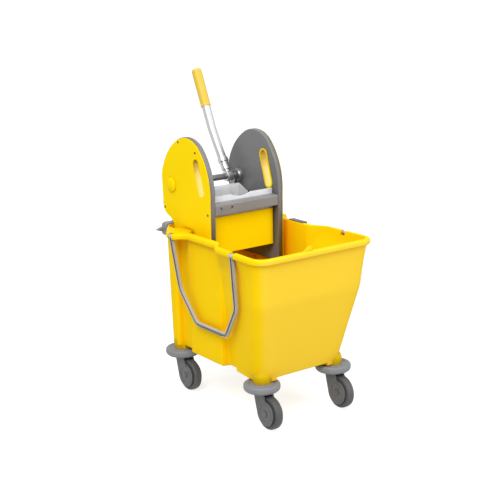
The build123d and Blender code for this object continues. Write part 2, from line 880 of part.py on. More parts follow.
def make_front_plate():
    """The fixed plate that the mop is pressed against, ribbed behind, with a dip in its top edge."""
    low = sieve_bottom + sieve_wall
    middle = (low + plate_top) / 2
    height = plate_top - low
    front = side_front + bar_depth
    facing = Plane(origin=wringer_point(0, (front, middle)), x_dir=(1, 0, 0), z_dir=(0, -1, 0))
    with BuildPart() as front_plate:
        with BuildSketch(facing):
            with BuildLine():
                Polyline(
                    (-plate_dip_half, height / 2),
                    (-side_inner_x, height / 2),
                    (-side_inner_x, -height / 2),
                    (side_inner_x, -height / 2),
                    (side_inner_x, height / 2),
                    (plate_dip_half, height / 2),
                )
                ThreePointArc(
                    (plate_dip_half, height / 2), (0, height / 2 - plate_dip), (-plate_dip_half, height / 2)
                )
            make_face()
        extrude(amount=-plate_wall)
        with BuildSketch(facing.offset(-plate_wall)):
            with Locations((0, -plate_rib_short / 2)):
                with GridLocations(2 * side_inner_x / plate_rib_count, 1, plate_rib_count, 1):
                    Rectangle(plate_rib_width, height - plate_rib_short)
        extrude(amount=-plate_rib_height)
    save(front_plate, "front_plate")


def make_sieve():
    """The drain floor of the wringer, with rows of slots."""
    front = side_front + panel_setback + panel_wall
    slots_front = side_front + bar_depth + plate_wall + plate_rib_height
    with BuildPart() as sieve:
        with BuildSketch(Plane(origin=wringer_point(0, (0, sieve_bottom)))):
            with Locations((0, (front + sieve_back) / 2)):
                Rectangle(2 * side_inner_x, sieve_back - front)
            with Locations((0, (slots_front + sieve_back) / 2)):
                with GridLocations(
                    2 * side_inner_x / sieve_columns, sieve_row_pitch, sieve_columns, sieve_rows
                ):
                    SlotOverall(sieve_slot_length, sieve_slot_width, mode=Mode.SUBTRACT)
        extrude(amount=sieve_wall)
    save(sieve, "drain_sieve")


def make_hinge_pin():
    """The pin that the press plate turns on, held in both side frames."""
    with BuildPart() as hinge_pin:
        with BuildSketch(cross_plane(hinge_place)):
            Circle(hinge_pin_radius)
        extrude(amount=side_outer_x - seat_gap, both=True)
    save(hinge_pin, "press_hinge_pin")


def arm_nose():
    """Middle of the push arm's nose at rest, on the wringer's side view."""
    swing = radians(arm_back_angle)
    return Vector(shaft_place[0] + arm_length * sin(swing), shaft_place[1] - arm_length * cos(swing))


def gusset_corners():
    """Corners of the gusset behind the press plate, whose back edge is the pad that the arm's nose pushes."""
    slant = radians(pad_angle)
    pad_up = Vector(sin(slant), cos(slant))
    pad_out = Vector(cos(slant), -sin(slant))
    contact = arm_nose() - pad_out * (arm_nose_radius + pad_gap)
    high = contact + pad_up * pad_above
    low = contact - pad_up * pad_below
    plate_slope = tan(radians(press_lean))
    roots = [
        (hinge_place[0] + (height - hinge_place[1]) * plate_slope, height)
        for height in (high.Y, low.Y - gusset_drop)
    ]
    return [roots[1], (low.X, low.Y), (high.X, high.Y), roots[0]]


def make_press_plate():
    """The ribbed plate that swings forward on its hinge, with a gusset behind each end for the push arms."""
    lean = radians(press_lean)
    rise = Vector(0, sin(lean), cos(lean))
    face = Plane(origin=wringer_point(0, hinge_place), x_dir=(1, 0, 0), z_dir=Vector(1, 0, 0).cross(rise))
    shoulder = press_height - press_chamfer
    with BuildPart() as press_plate:
        with BuildSketch(face):
            with BuildLine():
                Polyline(
                    (-press_half_width, 0),
                    (-press_half_width, shoulder),
                    (press_chamfer - press_half_width, press_height),
                    (press_half_width - press_chamfer, press_height),
                    (press_half_width, shoulder),
                    (press_half_width, 0),
                    close=True,
                )
            make_face()
        extrude(amount=press_wall / 2, both=True)
        with BuildSketch(face.offset(press_wall / 2)):
            with Locations((0, hinge_knuckle_radius)):
                with GridLocations(press_rib_pitch, 1, press_rib_count, 1):
                    rib_height = press_height - press_rib_short - hinge_knuckle_radius
                    Rectangle(press_rib_width, rib_height, align=(Align.CENTER, Align.MIN))
        extrude(amount=press_rib_height)
        for side in sides.values():
            with BuildSketch(cross_plane(hinge_place, side * press_half_width)):
                Circle(hinge_knuckle_radius)
            extrude(amount=-side * hinge_knuckle_length)
            with BuildSketch(wringer_plane(side * arm_x)):
                with BuildLine():
                    Polyline(*gusset_corners(), close=True)
                make_face()
            extrude(amount=arm_width / 2, both=True)
        with BuildSketch(cross_plane(hinge_place)):
            Circle(hinge_pin_radius + running_fit)
        extrude(amount=press_half_width, both=True, mode=Mode.SUBTRACT)
        # Room for the return spring between the knuckles
        with BuildSketch(cross_plane(hinge_place)):
            Circle(spring_radius + spring_wire / 2 + spring_room)
        extrude(amount=press_half_width - hinge_knuckle_length, both=True, mode=Mode.SUBTRACT)
    save(press_plate, "press_plate")


def make_push_arm(name, side):
    """An arm fixed on the shaft, whose round nose pushes the press plate's gusset."""
    nose = arm_nose()
    shaft_centre = Vector(*shaft_place)
    bar_middle = (shaft_centre + nose) / 2
    with BuildPart() as push_arm:
        with BuildSketch(wringer_plane(side * arm_x)):
            with Locations(shaft_place):
                Circle(shaft_radius + arm_ring_wall)
            with Locations((nose.X, nose.Y)):
                Circle(arm_nose_radius)
            with Locations(Location((bar_middle.X, bar_middle.Y), arm_back_angle)):
                Rectangle(arm_bar_width, arm_length)
            with Locations(shaft_place):
                Circle(shaft_radius + press_fit, mode=Mode.SUBTRACT)
        extrude(amount=arm_width / 2, both=True)
    save(push_arm, f"push_arm_{name}")


def lever_plane(distance=0.0):
    """Plane square to the lever, at a distance along it from the shaft's axis and through its bend."""
    foot_lean = radians(lever_angle)
    turned = (min(max(distance, lever_bend_start), lever_bend_end) - lever_bend_start) / lever_bend_radius
    lean = foot_lean - turned
    rise = Vector(0, sin(lean), cos(lean))
    foot = wringer_point(lever_x, shaft_place)
    straight = Vector(0, sin(foot_lean), cos(foot_lean)) * min(distance, lever_bend_start)
    bent = Vector(0, cos(lean) - cos(foot_lean), sin(foot_lean) - sin(lean)) * lever_bend_radius
    beyond = rise * max(distance - lever_bend_end, 0.0)
    return Plane(origin=foot + straight + bent + beyond, x_dir=(1, 0, 0), z_dir=rise)


def make_shaft():
    """The cross shaft, drilled for the bolt of the lever socket."""
    with BuildPart() as shaft:
        with BuildSketch(cross_plane(shaft_place)):
            Circle(shaft_radius)
        extrude(amount=side_outer_x - shaft_end_gap, both=True)
        with BuildSketch(lever_plane()):
            Circle(bolt_radius + press_fit)
        extrude(amount=shaft_radius, both=True, mode=Mode.SUBTRACT)
    save(shaft, "shaft")


def make_bush(name, side):
    """A flanged bush that carries one end of the shaft in its side frame."""
    inner_face = cross_plane(shaft_place, side * side_inner_x)
    with BuildPart() as bush:
        with BuildSketch(inner_face):
            Circle(shaft_radius + bush_wall)
        extrude(amount=side * side_thickness)
        with BuildSketch(inner_face):
            Circle(bush_flange_radius)
        extrude(amount=-side * bush_flange)
        with BuildSketch(inner_face):
            Circle(shaft_radius + bush_collar_wall)
        extrude(amount=-side * (bush_flange + bush_collar))
        with BuildSketch(inner_face):
            Circle(shaft_radius + running_fit)
        extrude(amount=side_thickness, both=True, mode=Mode.SUBTRACT)
    save(bush, f"shaft_bush_{name}")


def make_lever_socket():
    """The fitting that is bolted on the shaft and takes the foot of the lever tube."""
    cup_bore = lever_tube_radius + press_fit
    spigot_radius = lever_tube_radius - lever_tube_wall - press_fit
    ring_plane = cross_plane(shaft_place, lever_x)
    with BuildPart() as socket:
        with BuildSketch(ring_plane):
            Circle(socket_ring_radius)
        extrude(amount=socket_ring_width / 2, both=True)
        with BuildSketch(lever_plane()):
            Circle(socket_neck_radius)
        extrude(amount=socket_neck_end)
        with BuildSketch(lever_plane(socket_neck_end)):
            Circle(socket_block_radius)
        extrude(amount=socket_block_length)
        with BuildSketch(lever_plane(socket_cup_start)):
            Circle(cup_bore + socket_cup_wall)
            Circle(cup_bore, mode=Mode.SUBTRACT)
        extrude(amount=socket_cup_length)
        with BuildSketch(lever_plane(socket_cup_start)):
            Circle(spigot_radius)
        extrude(amount=socket_spigot_length)
        with BuildSketch(ring_plane):
            Circle(shaft_radius + press_fit)
        extrude(amount=socket_ring_width / 2, both=True, mode=Mode.SUBTRACT)
        with BuildSketch(lever_plane()):
            Circle(bolt_radius + press_fit)
        extrude(amount=shaft_radius + bolt_reach, both=True, mode=Mode.SUBTRACT)
    save(socket, "lever_socket")


def make_socket_bolt():
    """Hexagon bolt up through the socket ring and the shaft."""
    head_seat = lever_plane(-socket_ring_radius)
    with BuildPart() as socket_bolt:
        with BuildSketch(head_seat):
            RegularPolygon(bolt_head_radius, 6)
        extrude(amount=-bolt_head_height)
        with BuildSketch(head_seat):
            Circle(bolt_radius)
        extrude(amount=socket_ring_radius + shaft_radius + bolt_reach - seat_gap)
    save(socket_bolt, "socket_bolt")


def make_lever_tube():
    """The aluminium lever tube, with its slight bend."""
    bend_middle = (lever_bend_start + lever_bend_end) / 2
    stops = (socket_cup_start, lever_bend_start, bend_middle, lever_bend_end, lever_tube_end)
    places = [lever_plane(distance).origin for distance in stops]
    with BuildPart() as lever_tube:
        with BuildLine():
            Line(places[0], places[1])
            ThreePointArc(*places[1:4])
            Line(places[3], places[4])
        with BuildSketch(lever_plane(socket_cup_start)):
            Circle(lever_tube_radius)
            Circle(lever_tube_radius - lever_tube_wall, mode=Mode.SUBTRACT)
        sweep()
    save(lever_tube, "lever_tube")


def make_lever_grip():
    """The yellow grip pushed over the end of the lever tube, closed and rounded at its tip."""
    grip_bore = lever_tube_radius + press_fit
    with BuildPart() as lever_grip:
        with BuildSketch(lever_plane(grip_start)):
            Circle(grip_bore + grip_wall)
        extrude(amount=grip_length)
        tip = lever_grip.faces().sort_by(Axis((0, 0, 0), lever_plane(grip_end).z_dir))[-1]
        fillet(tip.edges(), radius=min(grip_round, grip_cap - seat_gap))
        with BuildSketch(lever_plane(grip_start)):
            Circle(grip_bore)
        extrude(amount=lever_tube_end - grip_start, mode=Mode.SUBTRACT)
    save(lever_grip, "lever_grip")


def spring_point(turn):
    """Point on the spring's centre line after a number of turns."""
    angle = 2 * pi * turn
    x = (turn - spring_turns / 2) * spring_pitch
    return wringer_point(x, hinge_place) + Vector(0, spring_radius * cos(angle), spring_radius * sin(angle))


def spring_heading(turn):
    """Direction of the spring's centre line after a number of turns."""
    angle = 2 * pi * turn
    round_one_turn = 2 * pi * spring_radius
    return Vector(spring_pitch, -round_one_turn * sin(angle), round_one_turn * cos(angle)).normalized()


def biarc(start, start_heading, end, end_heading):
    """Two arcs that leave the start and reach the end along the given headings."""
    chord = end - start
    bend = 2 * (1 - start_heading.dot(end_heading))
    along = chord.dot(start_heading + end_heading)
    reach = (sqrt(along**2 + bend * chord.dot(chord)) - along) / bend
    first = start + start_heading * reach
    last = end - end_heading * reach
    middle = (first + last) / 2
    TangentArc(start, middle, tangent=start_heading)
    TangentArc(middle, end, tangent=last - first)


def spring_gap():
    """Least gap between neighbouring turns of the spring, measured on points along it."""
    steps = 48
    points = [spring_point(i / steps) for i in range(steps * spring_turns + 1)]
    least = min(
        (points[i] - points[j]).length
        for i in range(len(points))
        for j in range(i + steps * 3 // 4, len(points))
    )
    return least - spring_wire


def make_return_spring():
    """Torsion spring round the hinge pin that swings the press plate back."""
    start = spring_point(0)
    end = spring_point(spring_turns)
    tail_start = start - spring_heading(0) * spring_tail
    with BuildPart() as return_spring:
        with BuildLine():
            Line(tail_start, start)
            for i in range(spring_turns * spring_quarters):
                a = i / spring_quarters
                b = (i + 1) / spring_quarters
                biarc(spring_point(a), spring_heading(a), spring_point(b), spring_heading(b))
            Line(end, end + spring_heading(spring_turns) * spring_tail)
        with BuildSketch(Plane(origin=tail_start, z_dir=spring_heading(0))):
            Circle(spring_wire / 2)
        sweep()
    save(return_spring, "return_spring")
    print("return spring least gap", round(spring_gap(), 3))


def make_hanger():
    """The bracket that hooks the wringer over the bucket's back rim, with a pointed tab at each end."""
    bar_front_y = flange_back_y + hanger_lip_gap
    plate_front_y = wringer_y + hanger_reach
    plate_length = bar_front_y + hanger_bar_depth - plate_front_y
    tab_z = rim_z + (hanger_rise - hanger_drop) / 2
    with BuildPart() as hanger:
        with BuildSketch(Plane.XZ.offset(-bar_front_y)):
            with Locations((0, rim_z - hanger_drop)):
                bar_size = (2 * hanger_half_width, hanger_drop + hanger_rise)
                bar = Rectangle(*bar_size, align=(Align.CENTER, Align.MIN))
            fillet(bar.vertices().group_by(Axis.Z)[-1], radius=hanger_round)
        extrude(amount=-hanger_bar_depth)
        with BuildSketch(Plane.XY.offset(rim_z + seat_gap)):
            with Locations((0, plate_front_y)):
                Rectangle(2 * side_inner_x, plate_length, align=(Align.CENTER, Align.MIN))
        extrude(amount=hanger_plate)
        with BuildSketch(Plane.XZ.offset(-bar_front_y - hanger_bar_depth)):
            for side in sides.values():
                with BuildLine():
                    Polyline(
                        (side * hanger_half_width, tab_z - hanger_tab_height / 2),
                        (side * hanger_half_width, tab_z + hanger_tab_height / 2),
                        (side * (hanger_half_width + hanger_tab), tab_z),
                        close=True,
                    )
                make_face()
        extrude(amount=hanger_tab_depth)
    save(hanger, "hanger_bracket")


def make_rim_clip():
    """The small grey clip snapped over the right rim."""
    outer_x = flange_waist_x + press_fit
    top_low = rim_z + press_fit
    with BuildPart() as rim_clip:
        with BuildSketch(Plane.XZ.offset(clip_setback - panel_end_y)):
            with BuildLine():
                Polyline(
                    (outer_x - clip_top_width, top_low),
                    (outer_x, top_low),
                    (outer_x, rim_z - clip_drop),
                    (outer_x + clip_wall, rim_z - clip_drop),
                    (outer_x + clip_wall, top_low + clip_wall),
                    (outer_x - clip_top_width, top_low + clip_wall),
                    close=True,
                )
            make_face()
        extrude(amount=clip_length)
    save(rim_clip, "rim_clip")


make_bucket()
make_bail_pins()
make_rim_clip()
for side_name, side_sign in sides.items():
    make_bail(f"bail_{side_name}", side_sign)
    make_side(side_name, side_sign)
    make_cover(side_name, side_sign)
    make_slot_bezel(side_name, side_sign)
    make_push_arm(side_name, side_sign)
    make_bush(side_name, side_sign)
for corner_name, corner_place in corners.items():
    make_caster(corner_name, corner_place)
make_cover_screws()
make_crossbar()
make_front_panel()
make_front_plate()
make_sieve()
make_hinge_pin()
make_press_plate()
make_return_spring()
make_shaft()
make_lever_socket()
make_socket_bolt()
make_lever_tube()
make_lever_grip()
make_hanger()
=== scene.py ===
import json
from math import asin, cos, pi, radians, sin, tan

import bpy
from mathutils import Matrix, Vector


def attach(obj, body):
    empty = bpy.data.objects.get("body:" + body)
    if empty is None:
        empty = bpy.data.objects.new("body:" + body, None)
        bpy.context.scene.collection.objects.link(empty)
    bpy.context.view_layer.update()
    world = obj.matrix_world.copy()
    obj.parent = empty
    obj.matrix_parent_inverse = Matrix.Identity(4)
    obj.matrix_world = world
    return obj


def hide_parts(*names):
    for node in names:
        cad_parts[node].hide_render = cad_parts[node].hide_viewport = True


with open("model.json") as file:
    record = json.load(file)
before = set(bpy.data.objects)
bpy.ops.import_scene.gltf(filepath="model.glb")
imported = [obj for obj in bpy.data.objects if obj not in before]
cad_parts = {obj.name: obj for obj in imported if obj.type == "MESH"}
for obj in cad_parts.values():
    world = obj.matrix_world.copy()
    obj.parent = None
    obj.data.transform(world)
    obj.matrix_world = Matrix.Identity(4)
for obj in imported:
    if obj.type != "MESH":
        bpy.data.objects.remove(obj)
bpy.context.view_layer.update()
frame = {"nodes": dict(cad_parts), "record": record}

# Looks of a wheeled mop bucket with a lever-press wringer.
# Sizes are millimetres in the frame of the solids, and meshes are scaled to metres when they are made.
mm = 0.001

# Turned outlines end this close to their axis
near_axis = 0.01

# Casters
caster_x = 102.3
caster_front_y = -197.0
caster_back_y = 115.6
caster_trail = 27.8
wheel_radius = 38.0
tyre_half_width = 9.0
tread_crown = 1.2
tyre_lip_radius = 31.0
tyre_lip_slope = 1.0
tyre_lip_step = 0.4
rim_radius = 27.0
fork_half = 14.5
fork_ring_radii = (17.5, 22.0)
fork_ring_height = 0.9
axle_cap_radius = 7.5
axle_cap_edge = 2.2
axle_cap_height = 2.4
fitting_sink = 0.2
stem_radius = 5.0
stem_gap = 0.3
bumper_radius = 41.0
bumper_bottom = 82.0
bumper_top = 100.0
bumper_groove_inner = 24.0
bumper_groove_outer = 30.5
bumper_groove_slope = 1.5
bumper_groove_depth = 1.4
leg_radius = 20.0
leg_dome_start = 117.0
leg_dome_top = 132.0
leg_boss_radius = 12.0
leg_boss_top = 166.0

# Faces of the legs that take the painted shade: distance from the leg's outline, and lowest Z of the
# face's normal
leg_shade_gap = 1.5
leg_shade_down = -0.1

# Bucket wall: heights of its levels, then outline sizes, with one for each level where they vary
level_heights = (108.0, 288.0, 345.0, 384.5)
front_corner_x = (89.8, 125.0, 128.0, 130.0)
front_corner_y = (-184.5, -228.7, -234.4, -238.2)
front_corner_radius = (29.0, 27.0, 27.5, 28.0)
step_x = (105.0, 121.0, 127.8, 153.0)
step_y = (-84.7, -84.7, -84.7, -106.7)
step_round = (4.0, 6.0, 10.0, 20.0)
panel_x = (123.0, 125.5, 126.2, 128.0)
panel_round = (3.0, 5.0, 8.0, 18.0)
panel_start_y = -77.7
panel_end_y = 46.3
groove_x = (109.0, 110.63, 111.14, 111.5)
groove_y = 54.3
panel_end_round = 6.0
groove_round = 5.0
groove_end_round = 3.0
post_radius = (20.0, 24.23, 25.57, 26.5)
wall = 4.0
floor_thickness = 5.0
base_round = 4.0
flat_band = 1.0
level_blend = 7.0
wall_rows = 42
foot_bottom = 101.5
foot_half_width = 30.0
foot_half_length = 88.0
foot_round = 3.0
foot_height = 12.0
foot_inset = 0.2
foot_points = 96

# Rim flange
rim_z = 398.0
flange_z = 384.5
flange_front_corner = (165.5, -273.7, 35.5)
flange_shoulder = (161.5, -114.7, 26.0)
flange_waist_front = (140.0, -77.7, 30.0)
flange_waist_back = (140.0, 34.3, 24.0)
flange_wing_front = (164.5, 46.3, 6.0)
flange_wing_back = (164.5, 75.3, 8.0)
flange_post_side = (145.1, 103.7, 60.0)
flange_post_corner = (116.5, 143.1, 27.5)
flange_round = 5.0
under_round = 4.0
lip_round = 1.6
# Steps from the wall out to the flange: how far out, and how far below the flange
flange_root = ((0.3, 1.6), (0.8, 0.5), (1.4, 0.0))

# Bail pivots
pivot_x = 159.9
pivot_ys = (-173.7, 60.8)
notch_inner = 5.4
notch_half = 7.4
notch_depth = 28.0
lip_notch_reach = 6.0
lip_notch_depth = 11.0
notch_past_side = 20.0
notch_past_top = 10.0

# Lug on the front rim
lug_x = -25.4
lug_half_width = 12.5
lug_height = 11.5
lug_lean = 7.2
lug_depth = 5.0
lug_root = 3.0
lug_shoulder = 1.0

# Wringer
side_inner_x = 88.8
side_thickness = 12.4
shaft_y = 137.8
shaft_z = 492.0
shaft_radius = 7.5
bush_gap = 0.1
bush_wall = 2.0
bush_flange_radius = 16.5
bush_flange_thickness = 2.0
bush_sweep = (13.0, 3.2)
bush_collar_radius = 10.0
bush_length = 8.0
cover_outer_x = 103.7
dome_radius = 17.2
dome_height = 6.5
dome_edge = 2.6
dome_flat_radius = 9.0
dome_sink = 1.0
slot_half_width = 11.0
slot_top = (37.1, 553.0)
slot_bottom = (18.6, 490.5)
liner_ends = (87.4, 103.5)
liner_thickness = 0.3
liner_gap = 0.05
arm_x = 76.0
arm_half_width = 4.0
arm_ring_radius = 10.4
arm_nose = (153.25, 444.45)
arm_nose_radius = 9.0
arm_bevel = 0.7
hinge_y = 89.8
hinge_z = 347.0
spring_radius = 5.5
spring_wire_radius = 1.2
spring_pitch = 4.0
spring_turns = 9
spring_tail = 3.0
ledge_box = ((86.0, -16.2, 291.7), (124.2, 27.8, 303.7))

# Lever: distances along it from the shaft's axis
lever_x = 58.0
lever_lean = radians(31.0)
lever_bend = radians(7.0)
lever_bend_start = 120.0
lever_bend_radius = 90.0
lever_tube_radius = 10.5
lever_tube_end = 270.0
clamp_radius = 12.8
clamp_half_width = 9.0
stalk_start = 8.5
stalk_neck_radius = 8.6
stalk_ring_radius = 11.4
stalk_ring = (16.0, 20.0)
stalk_radius = 10.7
stalk_collar_radius = 12.9
stalk_collar = (36.0, 46.0)
stalk_slope = 1.0
stalk_end = 46.6
grip_start = 182.0
grip_end = 277.7
grip_bead_radius = 12.4
grip_bead_length = 4.0
grip_waist_radius = 11.8
grip_waist = 6.0
grip_belly_radius = 12.3
grip_belly = 30.0
grip_end_radius = 11.9
grip_gap = 0.05
grip_end_gap = 0.1

# Camera, found from the casters and the wringer's sides in the photograph
camera_place = (-1572.4, -2155.9, 1026.9)
camera_azimuth = radians(-36.40)
camera_elevation = radians(14.36)
camera_roll = radians(-1.01)
camera_lens = 85.46
camera_sensor = 36.0

# Finishes, with their painted shade, sheen and light: noise in features per metre, and places in metres
mottle_scale = 14.0
sheen_scale = 45.0
grain_scale = 900.0
grain_strength = 0.12
relief_depth = 0.0002
# Ambient occlusion range over which the painted shade in hollows fades out
hollow_shade_range = (0.35, 0.95)
# Painted sheen on the front wall: range of the normal's Y, and range of the place's Y in metres
front_sheen_turn = (-0.95, -0.45)
front_sheen_place = (-0.16, -0.1)
# Painted shade and light on the hand slot liners: noise scale, raggedness, and the heights between which
# the shade gives way to light
liner_shade_scale = 60.0
liner_shade_ragged = 0.02
liner_shade_heights = (0.556, 0.528)

# Edges of the carried solids
sharp_angle = radians(40)
flat_angle = radians(0.5)
join_distance = 2e-6
frame_edge_width = 2.6
inner_face_gap = 0.2

# Stage
stage_half_size = 30000.0
stage_top = -0.2
stage_bottom = -20.0
stage_tone = (0.55, 0.55, 0.55, 1)
stage_glow = 0.72
soft_light = 0.54
white = (1, 1, 1, 1)

sides = {"left": -1, "right": 1}
corners = {
    "front_left": (-caster_x, caster_front_y),
    "front_right": (caster_x, caster_front_y),
    "back_left": (-caster_x, caster_back_y),
    "back_right": (caster_x, caster_back_y),
}
nodes = frame["nodes"]
slot_of = {part["node"]: part["material_slot"] for part in frame["record"]["subparts"]}


# Mesh helpers


def add_object(name, data):
    """Put a mesh, a light or a camera into the scene under a name."""
    thing = bpy.data.objects.new(name, data)
    bpy.context.scene.collection.objects.link(thing)
    return thing


def smooth_by_angle(thing, degrees=32):
    """Shade smooth, and keep edges sharper than the angle."""
    thing.data.shade_smooth()
    thing.data.set_sharp_from_angle(angle=radians(degrees))


def mesh_through(name, rings, loop=False):
    """Closed mesh through rings of equally many points: capped at both ends, or joined last to first."""
    count = len(rings[0])
    points = [tuple(c * mm for c in point) for ring in rings for point in ring]
    faces = []
    for i in range(len(rings) if loop else len(rings) - 1):
        low = i * count
        high = (i + 1) % len(rings) * count
        for j in range(count):
            k = (j + 1) % count
            faces.append((low + j, low + k, high + k, high + j))
    if not loop:
        last = (len(rings) - 1) * count
        faces.append(tuple(reversed(range(count))))
        faces.append(tuple(range(last, last + count)))
    mesh = bpy.data.meshes.new(name)
    mesh.from_pydata(points, [], faces)
    thing = add_object(name, mesh)
    smooth_by_angle(thing)
    return thing


def rounded_path(path_corners, arc_steps=6, line_steps=1):
    """Points along an open run of corners (x, y, radius), each rounded by an arc."""
    spots = [Vector(corner[:2]) for corner in path_corners]
    path = [spots[0]]

    def line_to(end):
        start = path[-1]
        path.extend(start.lerp(end, (i + 1) / line_steps) for i in range(line_steps))

    for before, spot, after, corner in zip(spots, spots[1:], spots[2:], path_corners[1:]):
        back = (before - spot).normalized()
        ahead = (after - spot).normalized()
        half = back.angle(ahead) / 2
        room = 0.49 * min((before - spot).length, (after - spot).length)
        reach = min(corner[2] / tan(half), room)
        middle = spot + (back + ahead).normalized() * reach / cos(half)
        start = spot + back * reach
        turn = (start - middle).angle_signed(spot + ahead * reach - middle)
        line_to(start)
        for i in range(1, arc_steps + 1):
            path.append(middle + Matrix.Rotation(-turn * i / arc_steps, 2) @ (start - middle))
    line_to(spots[-1])
    return path


def circle_about(centre, axis, across, radius, segments):
    """Ring of points round a centre, from one direction across the axis."""
    third = axis.cross(across)
    angles = [2 * pi * i / segments for i in range(segments)]
    return [centre + (across * cos(a) + third * sin(a)) * radius for a in angles]


def lathe(name, profile, origin, axis, segments=72, loop=False):
    """Solid turned about an axis from (radius, distance along the axis) points."""
    axis = Vector(axis).normalized()
    across = axis.orthogonal().normalized()
    rings = []
    for radius, along in profile:
        rings.append(circle_about(Vector(origin) + axis * along, axis, across, radius, segments))
    return mesh_through(name, rings, loop)


def tube_along(name, points, radius, segments=12):
    """Round tube along a line of points."""
    points = [Vector(point) for point in points]
    rings = []
    across = None
    for i, point in enumerate(points):
        heading = (points[min(i + 1, len(points) - 1)] - points[max(i - 1, 0)]).normalized()
        if across is None:
            across = heading.orthogonal().normalized()
        across = (across - heading * across.dot(heading)).normalized()
        rings.append(circle_about(point, heading, across, radius, segments))
    return mesh_through(name, rings)


def box_between(name, low, high):
    """Plain box between two corners, used to cut and to add to other meshes."""
    ring = [(low[0], low[1]), (high[0], low[1]), (high[0], high[1]), (low[0], high[1])]
    return mesh_through(name, [[(x, y, z) for x, y in ring] for z in (low[2], high[2])])


def combine(base, tools, operation):
    """Join closed meshes to a base, or cut them out of it, and keep the result as the base's mesh."""
    for tool in tools:
        change = base.modifiers.new("combine", "BOOLEAN")
        change.operation = operation
        change.solver = "EXACT"
        change.object = tool
    bpy.context.view_layer.update()
    result = bpy.data.meshes.new_from_object(base.evaluated_get(bpy.context.evaluated_depsgraph_get()))
    base.modifiers.clear()
    base.data = result
    for tool in tools:
        bpy.data.objects.remove(tool)
    smooth_by_angle(base)


# Materials


def add_node(tree, kind, **inputs):
    """Make a shader node and set its input sockets by name, with _ for a space."""
    made = tree.nodes.new(kind)
    for socket, value in inputs.items():
        made.inputs[socket.replace("_", " ")].default_value = value
    return made


def compute(tree, operation, *values):
    """Result of a sum on values, each a number or another node's output."""
    step = tree.nodes.new("ShaderNodeMath")
    step.operation = operation
    for socket, value in zip(step.inputs, values):
        if isinstance(value, float):
            socket.default_value = value
        else:
            tree.links.new(value, socket)
    return step.outputs["Value"]


def axis_part(tree, vector, axis):
    """One part of a vector: X, Y or Z."""
    split = tree.nodes.new("ShaderNodeSeparateXYZ")
    tree.links.new(vector, split.inputs["Vector"])
    return split.outputs[axis]


def start_material(name):
    """New material with a principled shader, and its object coordinates."""
    material = bpy.data.materials.new(name)
    material.use_nodes = True
    tree = material.node_tree
    shader = tree.nodes["Principled BSDF"]
    place = tree.nodes.new("ShaderNodeTexCoord")
    return material, tree, shader, place.outputs["Object"]


def noise_at(tree, place, scale, detail, stretch=(1, 1, 1)):
    """Noise over the object's own coordinates, in features per metre."""
    mapping = add_node(tree, "ShaderNodeMapping", Scale=stretch)
    noise = add_node(tree, "ShaderNodeTexNoise", Scale=scale, Detail=detail)
    tree.links.new(place, mapping.inputs["Vector"])
    tree.links.new(mapping.outputs["Vector"], noise.inputs["Vector"])
    return noise.outputs["Fac"]


def spread(tree, value, low, high, from_low=0.3, from_high=0.7):
    """Stretch a value from one range to another."""
    ranged = add_node(
        tree, "ShaderNodeMapRange", From_Min=from_low, From_Max=from_high, To_Min=low, To_Max=high
    )
    tree.links.new(value, ranged.inputs["Value"])
    return ranged.outputs["Result"]


def blend_colours(tree, amount, first, second):
    """Colour that goes from the first, a colour or a node's output, to the second with the amount."""
    mix = tree.nodes.new("ShaderNodeMix")
    mix.data_type = "RGBA"
    if isinstance(first, tuple):
        mix.inputs["A"].default_value = (*first, 1)
    else:
        tree.links.new(first, mix.inputs["A"])
    mix.inputs["B"].default_value = (*second, 1)
    tree.links.new(amount, mix.inputs["Factor"])
    return mix.outputs["Result"]


def paint_hollow_shade(tree, colour, deep, reach):
    """Painted shade: colour that deepens in hollows found by ambient occlusion, standing in for the
    shade and the light bounced from wall to wall there.
    """
    hollow_shade = add_node(tree, "ShaderNodeAmbientOcclusion", Distance=reach)
    hollow_shade.samples = 8
    share = spread(tree, hollow_shade.outputs["AO"], 1.0, 0.0, *hollow_shade_range)
    return blend_colours(tree, share, colour, deep)


def paint_front_sheen(tree, colour, pale):
    """Painted sheen: colour that pales on the front wall, standing in for the bright reflection there.
    """
    place = tree.nodes.new("ShaderNodeTexCoord")
    turned = spread(tree, axis_part(tree, place.outputs["Normal"], "Y"), 1.0, 0.0, *front_sheen_turn)
    near = spread(tree, axis_part(tree, place.outputs["Object"], "Y"), 1.0, 0.0, *front_sheen_place)
    return blend_colours(tree, compute(tree, "MULTIPLY", turned, near), colour, pale)


def add_bump(tree, shader, height, strength):
    """Fine relief on the shader's normal."""
    bump = add_node(tree, "ShaderNodeBump", Strength=strength, Distance=relief_depth)
    tree.links.new(height, bump.inputs["Height"])
    tree.links.new(bump.outputs["Normal"], shader.inputs["Normal"])


def add_grain(tree, shader, place):
    """Fine moulded grain."""
    add_bump(tree, shader, noise_at(tree, place, grain_scale, 2.0), grain_strength)


def moulded(name, deep, light, roughness, specular=0.5, hollow_shade=None, reach=0.05, front=None):
    """Moulded plastic or rubber: soft mottling, uneven sheen and a fine moulded grain, with a painted
    sheen on the front wall and painted shade in hollows where these are given.
    """
    material, tree, shader, place = start_material(name)
    mottle = noise_at(tree, place, mottle_scale, 4.0)
    colour = blend_colours(tree, spread(tree, mottle, 0.0, 1.0), deep, light)
    # painted sheen on the front wall
    if front:
        colour = paint_front_sheen(tree, colour, front)
    # painted shade in hollows
    if hollow_shade:
        colour = paint_hollow_shade(tree, colour, hollow_shade, reach)
    tree.links.new(colour, shader.inputs["Base Color"])
    sheen = noise_at(tree, place, sheen_scale, 3.0)
    tree.links.new(spread(tree, sheen, *roughness), shader.inputs["Roughness"])
    shader.inputs["Specular IOR Level"].default_value = specular
    add_grain(tree, shader, place)
    return material


